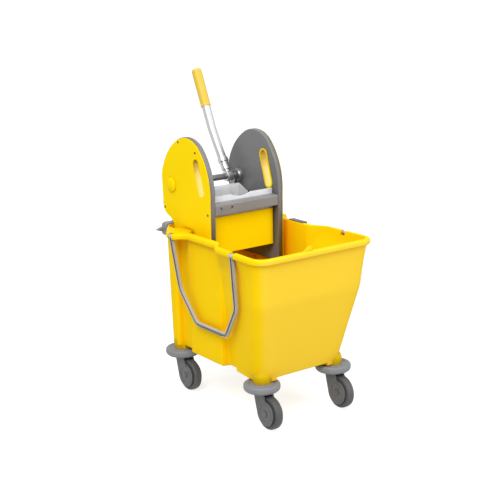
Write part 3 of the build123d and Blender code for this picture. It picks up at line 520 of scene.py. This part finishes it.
def liner_with_painted_shade(name, deep, lit_colour, roughness):
    """Liner of a hand slot: darker towards its top end as painted shade, and paler towards its lower end
    as painted light.
    """
    material, tree, shader, place = start_material(name)
    ragged = noise_at(tree, place, liner_shade_scale, 3.0)
    height = compute(tree, "MULTIPLY_ADD", ragged, liner_shade_ragged, axis_part(tree, place, "Z"))
    share = spread(tree, height, 0.0, 1.0, *liner_shade_heights)
    tree.links.new(blend_colours(tree, share, deep, lit_colour), shader.inputs["Base Color"])
    tree.links.new(spread(tree, share, *roughness, 0.0, 1.0), shader.inputs["Roughness"])
    add_grain(tree, shader, place)
    return material


def metal(name, deep, light, roughness, stretch, streak_scale=300.0, relief=0.02):
    """Metal with streaks along one direction."""
    material, tree, shader, place = start_material(name)
    streaks = noise_at(tree, place, streak_scale, 3.0, stretch)
    colour = blend_colours(tree, spread(tree, streaks, 0.0, 1.0), deep, light)
    tree.links.new(colour, shader.inputs["Base Color"])
    tree.links.new(spread(tree, streaks, *roughness), shader.inputs["Roughness"])
    shader.inputs["Metallic"].default_value = 1.0
    add_bump(tree, shader, streaks, relief)
    return material


materials = {
    # Yellow plastic with painted shade in its hollows and a painted sheen on the front wall
    "yellow_plastic": moulded(
        "yellow_plastic",
        (0.965, 0.63, 0.002),
        (0.985, 0.66, 0.004),
        (0.32, 0.44),
        specular=0.02,
        hollow_shade=(0.9, 0.42, 0.001),
        front=(0.965, 0.645, 0.042),
    ),
    # Darker copy of the yellow plastic for the legs: painted shade, with more painted shade in its
    # hollows
    "yellow_leg_shaded": moulded(
        "yellow_leg_shaded",
        (0.66, 0.445, 0.001),
        (0.7, 0.475, 0.002),
        (0.36, 0.48),
        specular=0.08,
        hollow_shade=(0.42, 0.28, 0.001),
        reach=0.03,
    ),
    # Painted shade in the hollows of the covers, domes and front panel, such as the hand slots and under
    # the crossbar
    "yellow_cover": moulded(
        "yellow_cover",
        (0.97, 0.69, 0.001),
        (0.99, 0.715, 0.002),
        (0.3, 0.42),
        specular=0.02,
        hollow_shade=(0.6, 0.34, 0.001),
        reach=0.012,
    ),
    # Painted shade at the top of each hand slot, painted light towards its lower end
    "slot_liner": liner_with_painted_shade("slot_liner", (0.58, 0.36, 0.002), (0.95, 0.69, 0.14), (0.4, 0.3)),
    "yellow_grip": moulded("yellow_grip", (0.69, 0.46, 0.035), (0.76, 0.52, 0.05), (0.42, 0.55)),
    # Painted shade in the hollows of the side frames
    "grey_plastic": moulded(
        "grey_plastic",
        (0.17, 0.17, 0.175),
        (0.18, 0.18, 0.185),
        (0.4, 0.44),
        hollow_shade=(0.07, 0.07, 0.072),
        reach=0.07,
    ),
    # Painted shade in the groove along the bail
    "bail_plastic": moulded(
        "bail_plastic",
        (0.43, 0.43, 0.425),
        (0.49, 0.49, 0.485),
        (0.35, 0.5),
        hollow_shade=(0.06, 0.06, 0.06),
        reach=0.008,
    ),
    "hanger_plastic": moulded("hanger_plastic", (0.2, 0.2, 0.205), (0.24, 0.24, 0.245), (0.3, 0.42)),
    "light_grey_plastic": moulded(
        "light_grey_plastic", (0.76, 0.77, 0.79), (0.82, 0.83, 0.85), (0.4, 0.52)
    ),
    "bumper_rubber": moulded("bumper_rubber", (0.2, 0.21, 0.235), (0.235, 0.245, 0.27), (0.5, 0.66)),
    "tyre_rubber": moulded("tyre_rubber", (0.062, 0.062, 0.066), (0.085, 0.085, 0.09), (0.5, 0.65)),
    "wheel_plastic": moulded("wheel_plastic", (0.085, 0.085, 0.09), (0.112, 0.112, 0.117), (0.38, 0.52)),
    "screw_black": moulded(
        "screw_black", (0.02, 0.02, 0.022), (0.04, 0.04, 0.042), (0.45, 0.6), specular=0.3
    ),
    "zinc_steel": metal("zinc_steel", (0.5, 0.5, 0.51), (0.6, 0.6, 0.61), (0.32, 0.44), (1, 1, 1)),
    "dark_steel": metal(
        "dark_steel", (0.22, 0.22, 0.225), (0.28, 0.28, 0.285), (0.36, 0.46), (0.15, 1, 1)
    ),
    "lever_aluminium": metal(
        "lever_aluminium", (0.5, 0.5, 0.51), (0.54, 0.54, 0.55), (0.44, 0.48), (1, 0.05, 0.05)
    ),
}
finish_of = dict(slot_of)
finish_of["hanger_bracket"] = "hanger_plastic"
finish_of["crossbar"] = "hanger_plastic"
finish_of["cover_screws"] = "screw_black"
finish_of["rim_clip"] = "wheel_plastic"
finish_of["front_panel"] = "yellow_cover"
for side_name in sides:
    finish_of[f"outer_cover_{side_name}"] = "yellow_cover"
    finish_of[f"slot_bezel_{side_name}"] = "yellow_cover"
for node, finish in finish_of.items():
    nodes[node].material_slots[0].material = materials[finish]


# Pieces


def dress(piece, body, slot_name, *replaced, finish=None):
    """Give a piece its finish, its body and the solids it stands for."""
    piece.data.materials.clear()
    piece.data.materials.append(materials[finish or slot_name])
    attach(piece, body)
    if replaced:
        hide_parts(*replaced)


def at_height(values, z):
    """Size at a height: straight between the levels, and eased where two levels meet."""
    steps = (-1.0, -0.5, 0.0, 0.5, 1.0)
    return sum(between_levels(values, z + step * level_blend) for step in steps) / len(steps)


def between_levels(values, z):
    """Size at a height, straight between the levels and on past the ends."""
    last = len(level_heights) - 2
    i = max(j for j in range(last + 1) if j == 0 or level_heights[j] <= z)
    share = (z - level_heights[i]) / (level_heights[i + 1] - level_heights[i])
    return values[i] + (values[i + 1] - values[i]) * share


def mirrored(half):
    """Whole outline from its right half, which runs from the front's middle to the back's."""
    return [tuple(p) for p in half] + [(-x, y) for x, y in reversed(half[1:-1])]


def wall_outline(z, ease=0.0):
    """Outer outline of the bucket's wall at a height. The ease is added to its panel's corner radii."""
    corner_x = at_height(front_corner_x, z)
    corner_y = at_height(front_corner_y, z)
    radius = at_height(front_corner_radius, z)
    groove = at_height(groove_x, z)
    post = at_height(post_radius, z)
    post_side = caster_x + post
    tangent = asin((groove - caster_x) / post)
    post_front = caster_back_y - post * cos(tangent)
    post_corner = post_front + (post_side - groove) * tan(tangent)
    half = [
        (0, corner_y - radius, 0),
        (corner_x + radius, corner_y - radius, radius),
        (at_height(step_x, z), at_height(step_y, z), at_height(step_round, z)),
        (at_height(panel_x, z), panel_start_y, at_height(panel_round, z) + ease),
        (at_height(panel_x, z), panel_end_y, panel_end_round + ease),
        (groove, groove_y, groove_round),
        (groove, post_front, groove_end_round),
        (post_side, post_corner, post),
        (post_side, caster_back_y + post, post),
        (0, caster_back_y + post, 0),
    ]
    return mirrored(rounded_path(half, line_steps=4))


def flange_outline():
    """Outline of the rim flange, with as many points as the wall's outline."""
    front_y = flange_front_corner[1]
    back_y = flange_post_corner[1]
    half = [
        (0, front_y, 0),
        flange_front_corner,
        flange_shoulder,
        flange_waist_front,
        flange_waist_back,
        flange_wing_front,
        flange_wing_back,
        flange_post_side,
        flange_post_corner,
        (0, back_y, 0),
    ]
    return mirrored(rounded_path(half, line_steps=4))


def inset(outline, amount):
    """Outline moved inward by an amount."""
    count = len(outline)
    moved = []
    for i, (x, y) in enumerate(outline):
        ahead = Vector(outline[(i + 1) % count])
        behind = Vector(outline[i - 1])
        along = (ahead - behind).normalized()
        moved.append((x - along.y * amount, y + along.x * amount))
    return moved


def raised(outline, z):
    """Ring of the outline's points at a height."""
    return [(x, y, z) for x, y in outline]


def reach_out(inner, outer, distance):
    """Outline part of the way from one to another, at most as far as the distance."""
    moved = []
    for a, b in zip(inner, outer):
        a, b = Vector(a), Vector(b)
        gap = (b - a).length
        moved.append(tuple(a.lerp(b, min(distance / gap, 0.8))))
    return moved


def quarter(steps):
    """Shares of a quarter round: how far in and how far up, from flat to upright."""
    angles = [pi / 2 * i / steps for i in range(steps + 1)]
    return [(1 - sin(a), 1 - cos(a)) for a in angles]


def make_shell():
    """The bucket's shell: from the base up the wall, over the rim, and down inside to the floor."""
    floor_z = level_heights[0]
    low = floor_z + floor_thickness + wall
    heights = [low + (flange_z - under_round - low) * i / wall_rows for i in range(1, wall_rows)]
    top_outline = wall_outline(flange_z)
    flange = flange_outline()
    base = wall_outline(floor_z)
    rings = [raised(inset(wall_outline(floor_z, base_round), base_round + flat_band), floor_z)]
    rings += [raised(inset(base, base_round * i), floor_z + base_round * u) for i, u in quarter(4)]
    rings += [raised(wall_outline(z), z) for z in heights]
    for distance, drop in flange_root:
        rings.append(raised(reach_out(top_outline, flange, distance), flange_z - drop))
    rings += [raised(inset(flange, under_round * i), flange_z + under_round * u) for i, u in quarter(4)]
    for i, u in reversed(quarter(4)):
        rings.append(raised(inset(flange, flange_round * i), rim_z - flange_round * u))
    for i, u in quarter(3):
        rings.append(raised(inset(top_outline, wall - lip_round * i), rim_z - lip_round * u))
    rings += [raised(inset(wall_outline(z), wall), z) for z in reversed(heights)]
    inner_floor = inset(wall_outline(floor_z + floor_thickness, 2 * wall + flat_band), wall)
    for i, u in reversed(quarter(3)):
        rings.append(raised(inset(inner_floor, wall * i), floor_z + floor_thickness + wall * u))
    rings.append(raised(inset(inner_floor, wall + flat_band), floor_z + floor_thickness))
    return mesh_through("bucket_shell", rings)


def make_legs():
    """Legs over the bumpers, each with a domed top and a boss up into the wall."""
    profile = rounded_path(
        [
            (near_axis, bumper_top, 0),
            (leg_radius, bumper_top, 1.2),
            (leg_radius, leg_dome_start, 14),
            (leg_boss_radius, leg_dome_top, 2),
            (leg_boss_radius, leg_boss_top, 3),
            (near_axis, leg_boss_top, 0),
        ]
    )
    return [lathe("leg", profile, (x, y, 0), (0, 0, 1)) for x, y in corners.values()]


def make_feet():
    """Long feet that deepen the bucket's floor under its front corners."""
    outline = wall_outline(level_heights[0])
    layers = [(foot_round * i, foot_bottom + foot_round * u) for i, u in quarter(3)]
    layers.append((0.0, foot_bottom + foot_height))
    angles = [2 * pi * i / foot_points for i in range(foot_points)]
    feet = []
    for s in sides.values():
        rings = []
        for inward, z in layers:
            across = foot_half_width - inward
            along = foot_half_length - inward
            oval = [(s * caster_x + across * cos(a), caster_front_y + along * sin(a)) for a in angles]
            rings.append(raised(oval, z))
        foot = mesh_through("foot", rings)
        trim = [raised(inset(outline, foot_inset + inward), z) for inward, z in layers]
        combine(foot, [mesh_through("foot_outline", trim)], "INTERSECT")
        feet.append(foot)
    return feet


def make_ledges():
    """Ledges inside the bucket that carry the wringer's side frames."""
    (x0, y0, z0), (x1, y1, z1) = ledge_box
    ledges = []
    for s in sides.values():
        near, far = sorted((s * x0, s * x1))
        ledges.append(box_between("ledge", (near, y0, z0), (far, y1, z1)))
    return ledges


def make_notches():
    """Boxes that cut the rim free round the bails' pivots, and its lip at the front ones."""
    top = rim_z + notch_past_top
    notches = []
    for s in sides.values():
        for y in pivot_ys:
            near, far = sorted((s * (pivot_x - notch_inner), s * (pivot_x + notch_past_side)))
            low = (near, y - notch_half, rim_z - notch_depth)
            notches.append(box_between("notch", low, (far, y + notch_half, top)))
        near, far = sorted((s * (pivot_x - notch_inner - lip_notch_reach), s * pivot_x))
        low = (near, pivot_ys[0] - notch_half, rim_z - lip_notch_depth)
        notches.append(box_between("lip_notch", low, (far, pivot_ys[0] + notch_half, top)))
    return notches


def make_lug():
    """Small leaning lug on the front rim."""
    back_y = front_corner_y[-1] - front_corner_radius[-1] + wall
    shape = rounded_path(
        [
            (lug_x - lug_half_width, rim_z - lug_root, 0),
            (lug_x - lug_half_width, rim_z - lug_shoulder, 1),
            (lug_x + lug_lean, rim_z + lug_height, 3),
            (lug_x + lug_half_width, rim_z - lug_shoulder, 1),
            (lug_x + lug_half_width, rim_z - lug_root, 0),
        ]
    )
    depths = (back_y, back_y - lug_depth)
    return mesh_through("lug", [[(x, y, z) for x, z in reversed(shape)] for y in depths])


def make_bumpers():
    """Round bumpers with a shallow groove round the leg."""
    bore = stem_radius + stem_gap
    groove_floor = bumper_top - bumper_groove_depth
    profile = rounded_path(
        [
            (bore, bumper_bottom, 0),
            (bumper_radius, bumper_bottom, 8.6),
            (bumper_radius, bumper_top, 8.2),
            (bumper_groove_outer, bumper_top, 1.5),
            (bumper_groove_outer - bumper_groove_slope, groove_floor, 1.0),
            (bumper_groove_inner + bumper_groove_slope, groove_floor, 1.0),
            (bumper_groove_inner, bumper_top, 1.0),
            (bore, bumper_top, 0),
        ]
    )
    for corner, (x, y) in corners.items():
        bumper = lathe(f"bumper_ring_{corner}", profile, (x, y, 0), (0, 0, 1), loop=True)
        dress(bumper, "bucket", "bumper_rubber", f"bumper_{corner}")


def make_wheels():
    """Tyres with a crowned tread, and the raised rings and axle caps on the forks."""
    half = tyre_half_width
    lip = half - tyre_lip_step
    lip_foot = tyre_lip_radius - tyre_lip_slope
    shoulder = wheel_radius - tread_crown
    tread = rounded_path(
        [
            (rim_radius, -lip, 0),
            (lip_foot, -lip, 0.8),
            (tyre_lip_radius, -half, 0.8),
            (shoulder, -half, 4.0),
            (wheel_radius, 0, 30.0),
            (shoulder, half, 4.0),
            (tyre_lip_radius, half, 0.8),
            (lip_foot, lip, 0.8),
            (rim_radius, lip, 0),
        ],
        arc_steps=5,
    )
    inner, outer = fork_ring_radii
    ring = rounded_path(
        [(inner, 0, 0), (inner, fork_ring_height, 0.5), (outer, fork_ring_height, 0.5), (outer, 0, 0)],
        arc_steps=3,
    )
    cap = rounded_path(
        [
            (axle_cap_radius, 0, 0),
            (axle_cap_radius, axle_cap_edge, 1.6),
            (near_axis, axle_cap_height, 0),
        ],
        arc_steps=4,
    )
    for corner, (x, y) in corners.items():
        axle = Vector((x, y - caster_trail, wheel_radius))
        tyre = lathe(f"tread_{corner}", tread, axle, (1, 0, 0), segments=96, loop=True)
        dress(tyre, f"wheel_{corner}", "tyre_rubber", f"tyre_{corner}")
        for name, side in sides.items():
            face = axle + Vector((side * (fork_half - fitting_sink), 0, 0))
            raised_ring = lathe(f"fork_ring_{corner}_{name}", ring, face, (side, 0, 0), loop=True)
            dress(raised_ring, f"caster_{corner}", "wheel_plastic")
            axle_cap = lathe(f"axle_cap_{corner}_{name}", cap, face, (side, 0, 0), segments=48)
            dress(axle_cap, f"caster_{corner}", "wheel_plastic")


def paint_leg_shade(shell):
    """Give the faces of the legs a painted shade: a darker copy of the yellow plastic, standing in for
    the shade under the bucket's corners.
    """
    shell.data.materials.append(materials["yellow_leg_shaded"])
    middle = Vector((0, (caster_front_y + caster_back_y) / 2))
    for face in shell.data.polygons:
        spot = face.center / mm
        for place in corners.values():
            axis = Vector(place)
            reach = (spot.xy - axis).length
            dome_share = max(spot.z - leg_dome_start, 0) / (leg_dome_top - leg_dome_start)
            dome = leg_radius - dome_share * (leg_radius - leg_boss_radius)
            outward = face.normal.xy.dot(axis - middle) > 0 or spot.z < level_heights[0]
            on_leg = spot.z < leg_dome_top and abs(reach - dome) < leg_shade_gap
            if on_leg and outward and face.normal.z > leg_shade_down:
                face.material_index = 1


bucket = make_shell()
combine(bucket, make_legs() + make_feet(), "UNION")
combine(bucket, make_ledges() + [make_lug()], "UNION")
combine(bucket, make_notches(), "DIFFERENCE")
dress(bucket, "bucket", "yellow_plastic", "bucket")
# painted shade on the legs
paint_leg_shade(bucket)
make_bumpers()
make_wheels()


def make_spring():
    """Torsion spring wound round the press plate's hinge pin."""
    steps = 40
    points = []
    for i in range(spring_turns * steps + 1):
        angle = 2 * pi * i / steps
        x = (i / steps - spring_turns / 2) * spring_pitch
        points.append((x, hinge_y + spring_radius * cos(angle), hinge_z + spring_radius * sin(angle)))
    points.insert(0, (points[0][0], points[0][1], points[0][2] - spring_tail))
    points.append((points[-1][0], points[-1][1], points[-1][2] + spring_tail))
    return tube_along("hinge_spring", points, spring_wire_radius)


dress(make_spring(), "wringer", "zinc_steel", "return_spring")


def make_bushes():
    """Turned bushes: a flange on the side frame that sweeps down to a collar round the shaft."""
    bore = shaft_radius + bush_gap
    sleeve = shaft_radius + bush_wall
    profile = rounded_path(
        [
            (bore, -side_thickness, 0),
            (sleeve, -side_thickness, 0.3),
            (sleeve, 0.0, 0.3),
            (bush_flange_radius, 0.0, 0.5),
            (bush_flange_radius, bush_flange_thickness, 1.2),
            (*bush_sweep, 6.0),
            (bush_collar_radius, bush_length, 0.8),
            (bore, bush_length, 0),
        ]
    )
    for name, side in sides.items():
        face = (side * side_inner_x, shaft_y, shaft_z)
        bush = lathe(f"bush_flange_{name}", profile, face, (-side, 0, 0), loop=True)
        dress(bush, "wringer", "dark_steel", f"shaft_bush_{name}")


def make_lever_fittings():
    """The fitting at the foot of the lever with its clamp ring and collar, and the grip at the top."""
    foot = Vector((lever_x, shaft_y, shaft_z))
    along = Vector((0, sin(lever_lean), cos(lever_lean)))
    bore = shaft_radius + bush_gap
    clamp = rounded_path(
        [
            (bore, -clamp_half_width, 0),
            (clamp_radius, -clamp_half_width, 2.0),
            (clamp_radius, clamp_half_width, 2.0),
            (bore, clamp_half_width, 0),
        ]
    )
    ring = lathe("lever_clamp", clamp, foot, (1, 0, 0), loop=True)
    dress(ring, "lever", "zinc_steel", "lever_socket")
    ring_start, ring_end = stalk_ring
    collar_start, collar_end = stalk_collar
    stalk = rounded_path(
        [
            (near_axis, stalk_start, 0),
            (stalk_neck_radius, stalk_start, 0.5),
            (stalk_neck_radius, ring_start - stalk_slope, 1.5),
            (stalk_ring_radius, ring_start, 0.8),
            (stalk_ring_radius, ring_end, 0.8),
            (stalk_radius, ring_end + stalk_slope, 0.8),
            (stalk_radius, collar_start - stalk_slope, 0.8),
            (stalk_collar_radius, collar_start, 1.0),
            (stalk_collar_radius, collar_end, 1.0),
            (lever_tube_radius, stalk_end, 0.3),
            (near_axis, stalk_end, 0),
        ],
        arc_steps=4,
    )
    dress(lathe("lever_stalk", stalk, foot, along), "lever", "zinc_steel")
    grip_lean = lever_lean - lever_bend
    grip_along = Vector((0, sin(grip_lean), cos(grip_lean)))
    bend_back = cos(grip_lean) - cos(lever_lean)
    bend_up = sin(lever_lean) - sin(grip_lean)
    bend = Vector((0, bend_back, bend_up)) * lever_bend_radius
    bend_end = lever_bend_start + lever_bend_radius * lever_bend
    grip_foot = foot + along * lever_bend_start + bend - grip_along * bend_end
    grip_bore = lever_tube_radius + grip_gap
    grip_floor = lever_tube_end + grip_end_gap
    sleeve = rounded_path(
        [
            (grip_bore, grip_start, 0),
            (grip_bead_radius, grip_start, 0.8),
            (grip_bead_radius, grip_start + grip_bead_length, 0.8),
            (grip_waist_radius, grip_start + grip_waist, 1.5),
            (grip_belly_radius, grip_end - grip_belly, 60.0),
            (grip_end_radius, grip_end, 7.0),
            (near_axis, grip_end, 0),
        ],
        arc_steps=8,
    )
    sleeve += [(near_axis, grip_floor), (grip_bore, grip_floor)]
    grip = lathe("grip_sleeve", sleeve, grip_foot, grip_along, loop=True)
    dress(grip, "lever", "yellow_grip", "lever_grip")


def make_domes():
    """Rounded domes on the outer covers, over the ends of the shaft."""
    profile = rounded_path(
        [
            (dome_radius, -dome_sink, 0),
            (dome_radius, dome_edge, 2.2),
            (dome_flat_radius, dome_height, 14.0),
            (near_axis, dome_height, 0),
        ]
    )
    for name, side in sides.items():
        face = (side * cover_outer_x, shaft_y, shaft_z)
        dome = lathe(f"shaft_dome_{name}", profile, face, (side, 0, 0))
        dress(dome, "wringer", "yellow_plastic", finish="yellow_cover")


def round_ended(start, end, start_radius, end_radius, steps=24):
    """Outline of a bar with a round end about each of two points."""
    start, end = Vector(start), Vector(end)
    along = (end - start).normalized()
    across = Vector((-along.y, along.x))
    outline = []
    for centre, radius, first in ((start, start_radius, 0.0), (end, end_radius, pi)):
        for i in range(steps + 1):
            angle = first + pi * i / steps
            outline.append(centre + (across * cos(angle) - along * sin(angle)) * radius)
    return outline


def make_slot_liners():
    """Thin liners of the hand slots, through the covers and the side frames."""
    for name, side in sides.items():
        near, far = sorted(side * x for x in liner_ends)
        outside = slot_half_width - liner_gap
        inside = outside - liner_thickness
        rings = []
        for x, half in ((near, outside), (far, outside), (far, inside), (near, inside)):
            rings.append([(x, y, z) for y, z in round_ended(slot_bottom, slot_top, half, half)])
        liner = mesh_through(f"slot_liner_{name}", rings, loop=True)
        dress(liner, "wringer", "yellow_plastic", finish="slot_liner")


def make_push_arms():
    """Tapered arms on the shaft, each with a round nose for the press plate's pad."""
    outline = round_ended((shaft_y, shaft_z), arm_nose, arm_ring_radius, arm_nose_radius)
    flat = arm_half_width - arm_bevel
    layers = ((arm_bevel, -arm_half_width), (0.0, -flat), (0.0, flat), (arm_bevel, arm_half_width))
    for name, side in sides.items():
        rings = []
        for inward, offset in layers:
            ring = inset([tuple(p) for p in outline], inward)
            rings.append([(side * arm_x + offset, y, z) for y, z in ring])
        arm = mesh_through(f"arm_{name}", rings)
        dress(arm, "lever", "dark_steel", f"push_arm_{name}")


make_bushes()
make_lever_fittings()
make_domes()
make_slot_liners()
make_push_arms()


# Edges of the carried solids


def start_group(name):
    """Empty geometry node group, and the geometry that comes into it."""
    group = bpy.data.node_groups.new(name, "GeometryNodeTree")
    group.interface.new_socket("Geometry", in_out="INPUT", socket_type="NodeSocketGeometry")
    group.interface.new_socket("Geometry", in_out="OUTPUT", socket_type="NodeSocketGeometry")
    return group, group.nodes.new("NodeGroupInput").outputs["Geometry"]


def make_join_group():
    """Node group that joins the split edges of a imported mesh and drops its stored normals."""
    group, flow = start_group("join_edges")
    for stored in ("custom_normal", "sharp_face", "sharp_edge"):
        drop = group.nodes.new("GeometryNodeRemoveAttribute")
        drop.inputs["Name"].default_value = stored
        group.links.new(flow, drop.inputs["Geometry"])
        flow = drop.outputs["Geometry"]
    merge = group.nodes.new("GeometryNodeMergeByDistance")
    merge.inputs["Distance"].default_value = join_distance
    group.links.new(flow, merge.inputs["Geometry"])
    group.links.new(merge.outputs["Geometry"], group.nodes.new("NodeGroupOutput").inputs["Geometry"])
    return group


def make_mark_group():
    """Node group that marks the sharp edges of a side frame's inner face for rounding."""
    group, flow = start_group("mark_inner_edges")
    x = axis_part(group, group.nodes.new("GeometryNodeInputPosition").outputs["Position"], "X")
    inner_x = (side_inner_x + inner_face_gap) * mm
    inner = compute(group, "LESS_THAN", compute(group, "ABSOLUTE", x), inner_x)
    angle = group.nodes.new("GeometryNodeInputMeshEdgeAngle").outputs["Unsigned Angle"]
    sharp = compute(group, "GREATER_THAN", angle, sharp_angle)
    store = group.nodes.new("GeometryNodeStoreNamedAttribute")
    store.data_type = "FLOAT"
    store.domain = "EDGE"
    store.inputs["Name"].default_value = "bevel_weight_edge"
    group.links.new(flow, store.inputs["Geometry"])
    group.links.new(compute(group, "MULTIPLY", inner, sharp), store.inputs["Value"])
    group.links.new(store.outputs["Geometry"], group.nodes.new("NodeGroupOutput").inputs["Geometry"])
    return group


join_group = make_join_group()
mark_group = make_mark_group()


def soften(node, width, segments=2, inner_only=False):
    """Round the edges of a carried solid, as moulding and pressing leave them."""
    changes = nodes[node].modifiers
    changes.new("join", "NODES").node_group = join_group
    flats = changes.new("flats", "DECIMATE")
    flats.decimate_type = "DISSOLVE"
    flats.angle_limit = flat_angle
    if inner_only:
        changes.new("mark", "NODES").node_group = mark_group
    bevel = changes.new("edges", "BEVEL")
    bevel.limit_method = "WEIGHT" if inner_only else "ANGLE"
    bevel.angle_limit = sharp_angle
    bevel.width = width * mm
    bevel.segments = segments
    bevel.use_clamp_overlap = False
    bevel.harden_normals = True


edge_widths = {
    "crossbar": 1.2,
    "front_panel": 0.6,
    "front_plate": 0.6,
    "press_plate": 0.4,
    "hanger_bracket": 1.2,
    "rim_clip": 0.6,
    "socket_bolt": 0.4,
}
for side_name in sides:
    soften(f"side_frame_{side_name}", frame_edge_width, segments=4, inner_only=True)
    edge_widths[f"outer_cover_{side_name}"] = 0.6
    edge_widths[f"slot_bezel_{side_name}"] = 0.5
    edge_widths[f"bail_{side_name}"] = 0.8
for corner_name in corners:
    edge_widths[f"fork_{corner_name}"] = 0.8
for node, edge_width in edge_widths.items():
    soften(node, edge_width)


# Stage, light and camera


def seen_rays(tree):
    """One for rays from the camera, a reflection or a clear material, and nothing for other light."""
    rays = tree.nodes.new("ShaderNodeLightPath")
    seen = rays.outputs["Is Camera Ray"]
    for kind in ("Is Glossy Ray", "Is Transmission Ray"):
        seen = compute(tree, "MAXIMUM", seen, rays.outputs[kind])
    return seen


def make_floor():
    """Pale floor that keeps the object's shadow."""
    size = stage_half_size
    floor = box_between("floor", (-size, -size, stage_bottom), (size, size, stage_top))
    material, tree, shader, _ = start_material("floor")
    shader.inputs["Base Color"].default_value = stage_tone
    shader.inputs["Roughness"].default_value = 0.9
    shader.inputs["Specular IOR Level"].default_value = 0.1
    glow = add_node(tree, "ShaderNodeEmission", Color=white)
    tree.links.new(compute(tree, "MULTIPLY", seen_rays(tree), stage_glow), glow.inputs["Strength"])
    both = tree.nodes.new("ShaderNodeAddShader")
    tree.links.new(shader.outputs["BSDF"], both.inputs[0])
    tree.links.new(glow.outputs["Emission"], both.inputs[1])
    tree.links.new(both.outputs["Shader"], tree.nodes["Material Output"].inputs["Surface"])
    floor.data.materials.append(material)


def make_world():
    """Soft light from all round, white where the camera or a reflection sees it."""
    world = bpy.data.worlds.new("studio")
    bpy.context.scene.world = world
    world.use_nodes = True
    tree = world.node_tree
    soft = tree.nodes["Background"]
    soft.inputs["Color"].default_value = white
    soft.inputs["Strength"].default_value = soft_light
    backdrop = add_node(tree, "ShaderNodeBackground", Color=white, Strength=1.0)
    mix = tree.nodes.new("ShaderNodeMixShader")
    tree.links.new(seen_rays(tree), mix.inputs["Fac"])
    tree.links.new(soft.outputs["Background"], mix.inputs[1])
    tree.links.new(backdrop.outputs["Background"], mix.inputs[2])
    tree.links.new(mix.outputs["Shader"], tree.nodes["World Output"].inputs["Surface"])


def add_softbox(name, place, aim, size, power):
    """Square studio light aimed at a point."""
    light = bpy.data.lights.new(name, "AREA")
    light.size = size
    light.energy = power
    lamp = add_object(name, light)
    lamp.location = place
    lamp.rotation_euler = (Vector(aim) - Vector(place)).to_track_quat("-Z", "Y").to_euler()


def make_camera():
    """Camera at the photograph's angle, with its slight roll."""
    level = cos(camera_elevation)
    back = Vector((sin(camera_azimuth) * level, -cos(camera_azimuth) * level, sin(camera_elevation)))
    right = (-back).cross(Vector((0, 0, 1))).normalized()
    up = right.cross(-back)
    rolled_right = right * cos(camera_roll) + up * sin(camera_roll)
    rolled_up = up * cos(camera_roll) - right * sin(camera_roll)
    lens = bpy.data.cameras.new("camera")
    lens.lens = camera_lens
    lens.sensor_width = camera_sensor
    camera = add_object("camera", lens)
    turn = Matrix((rolled_right, rolled_up, back)).transposed()
    camera.matrix_world = Matrix.Translation(Vector(camera_place) * mm) @ turn.to_4x4()
    bpy.context.scene.camera = camera


make_floor()
make_world()
add_softbox("key", (-2.1, -1.6, 2.8), (0, -0.05, 0.35), 1.8, 82)
add_softbox("fill", (1.4, -2.4, 1.6), (0, -0.1, 0.3), 1.8, 27)
add_softbox("top", (0.0, 0.0, 2.9), (0, 0, 0.4), 2.4, 20)
make_camera()
bpy.context.scene.view_settings.view_transform = "Standard"
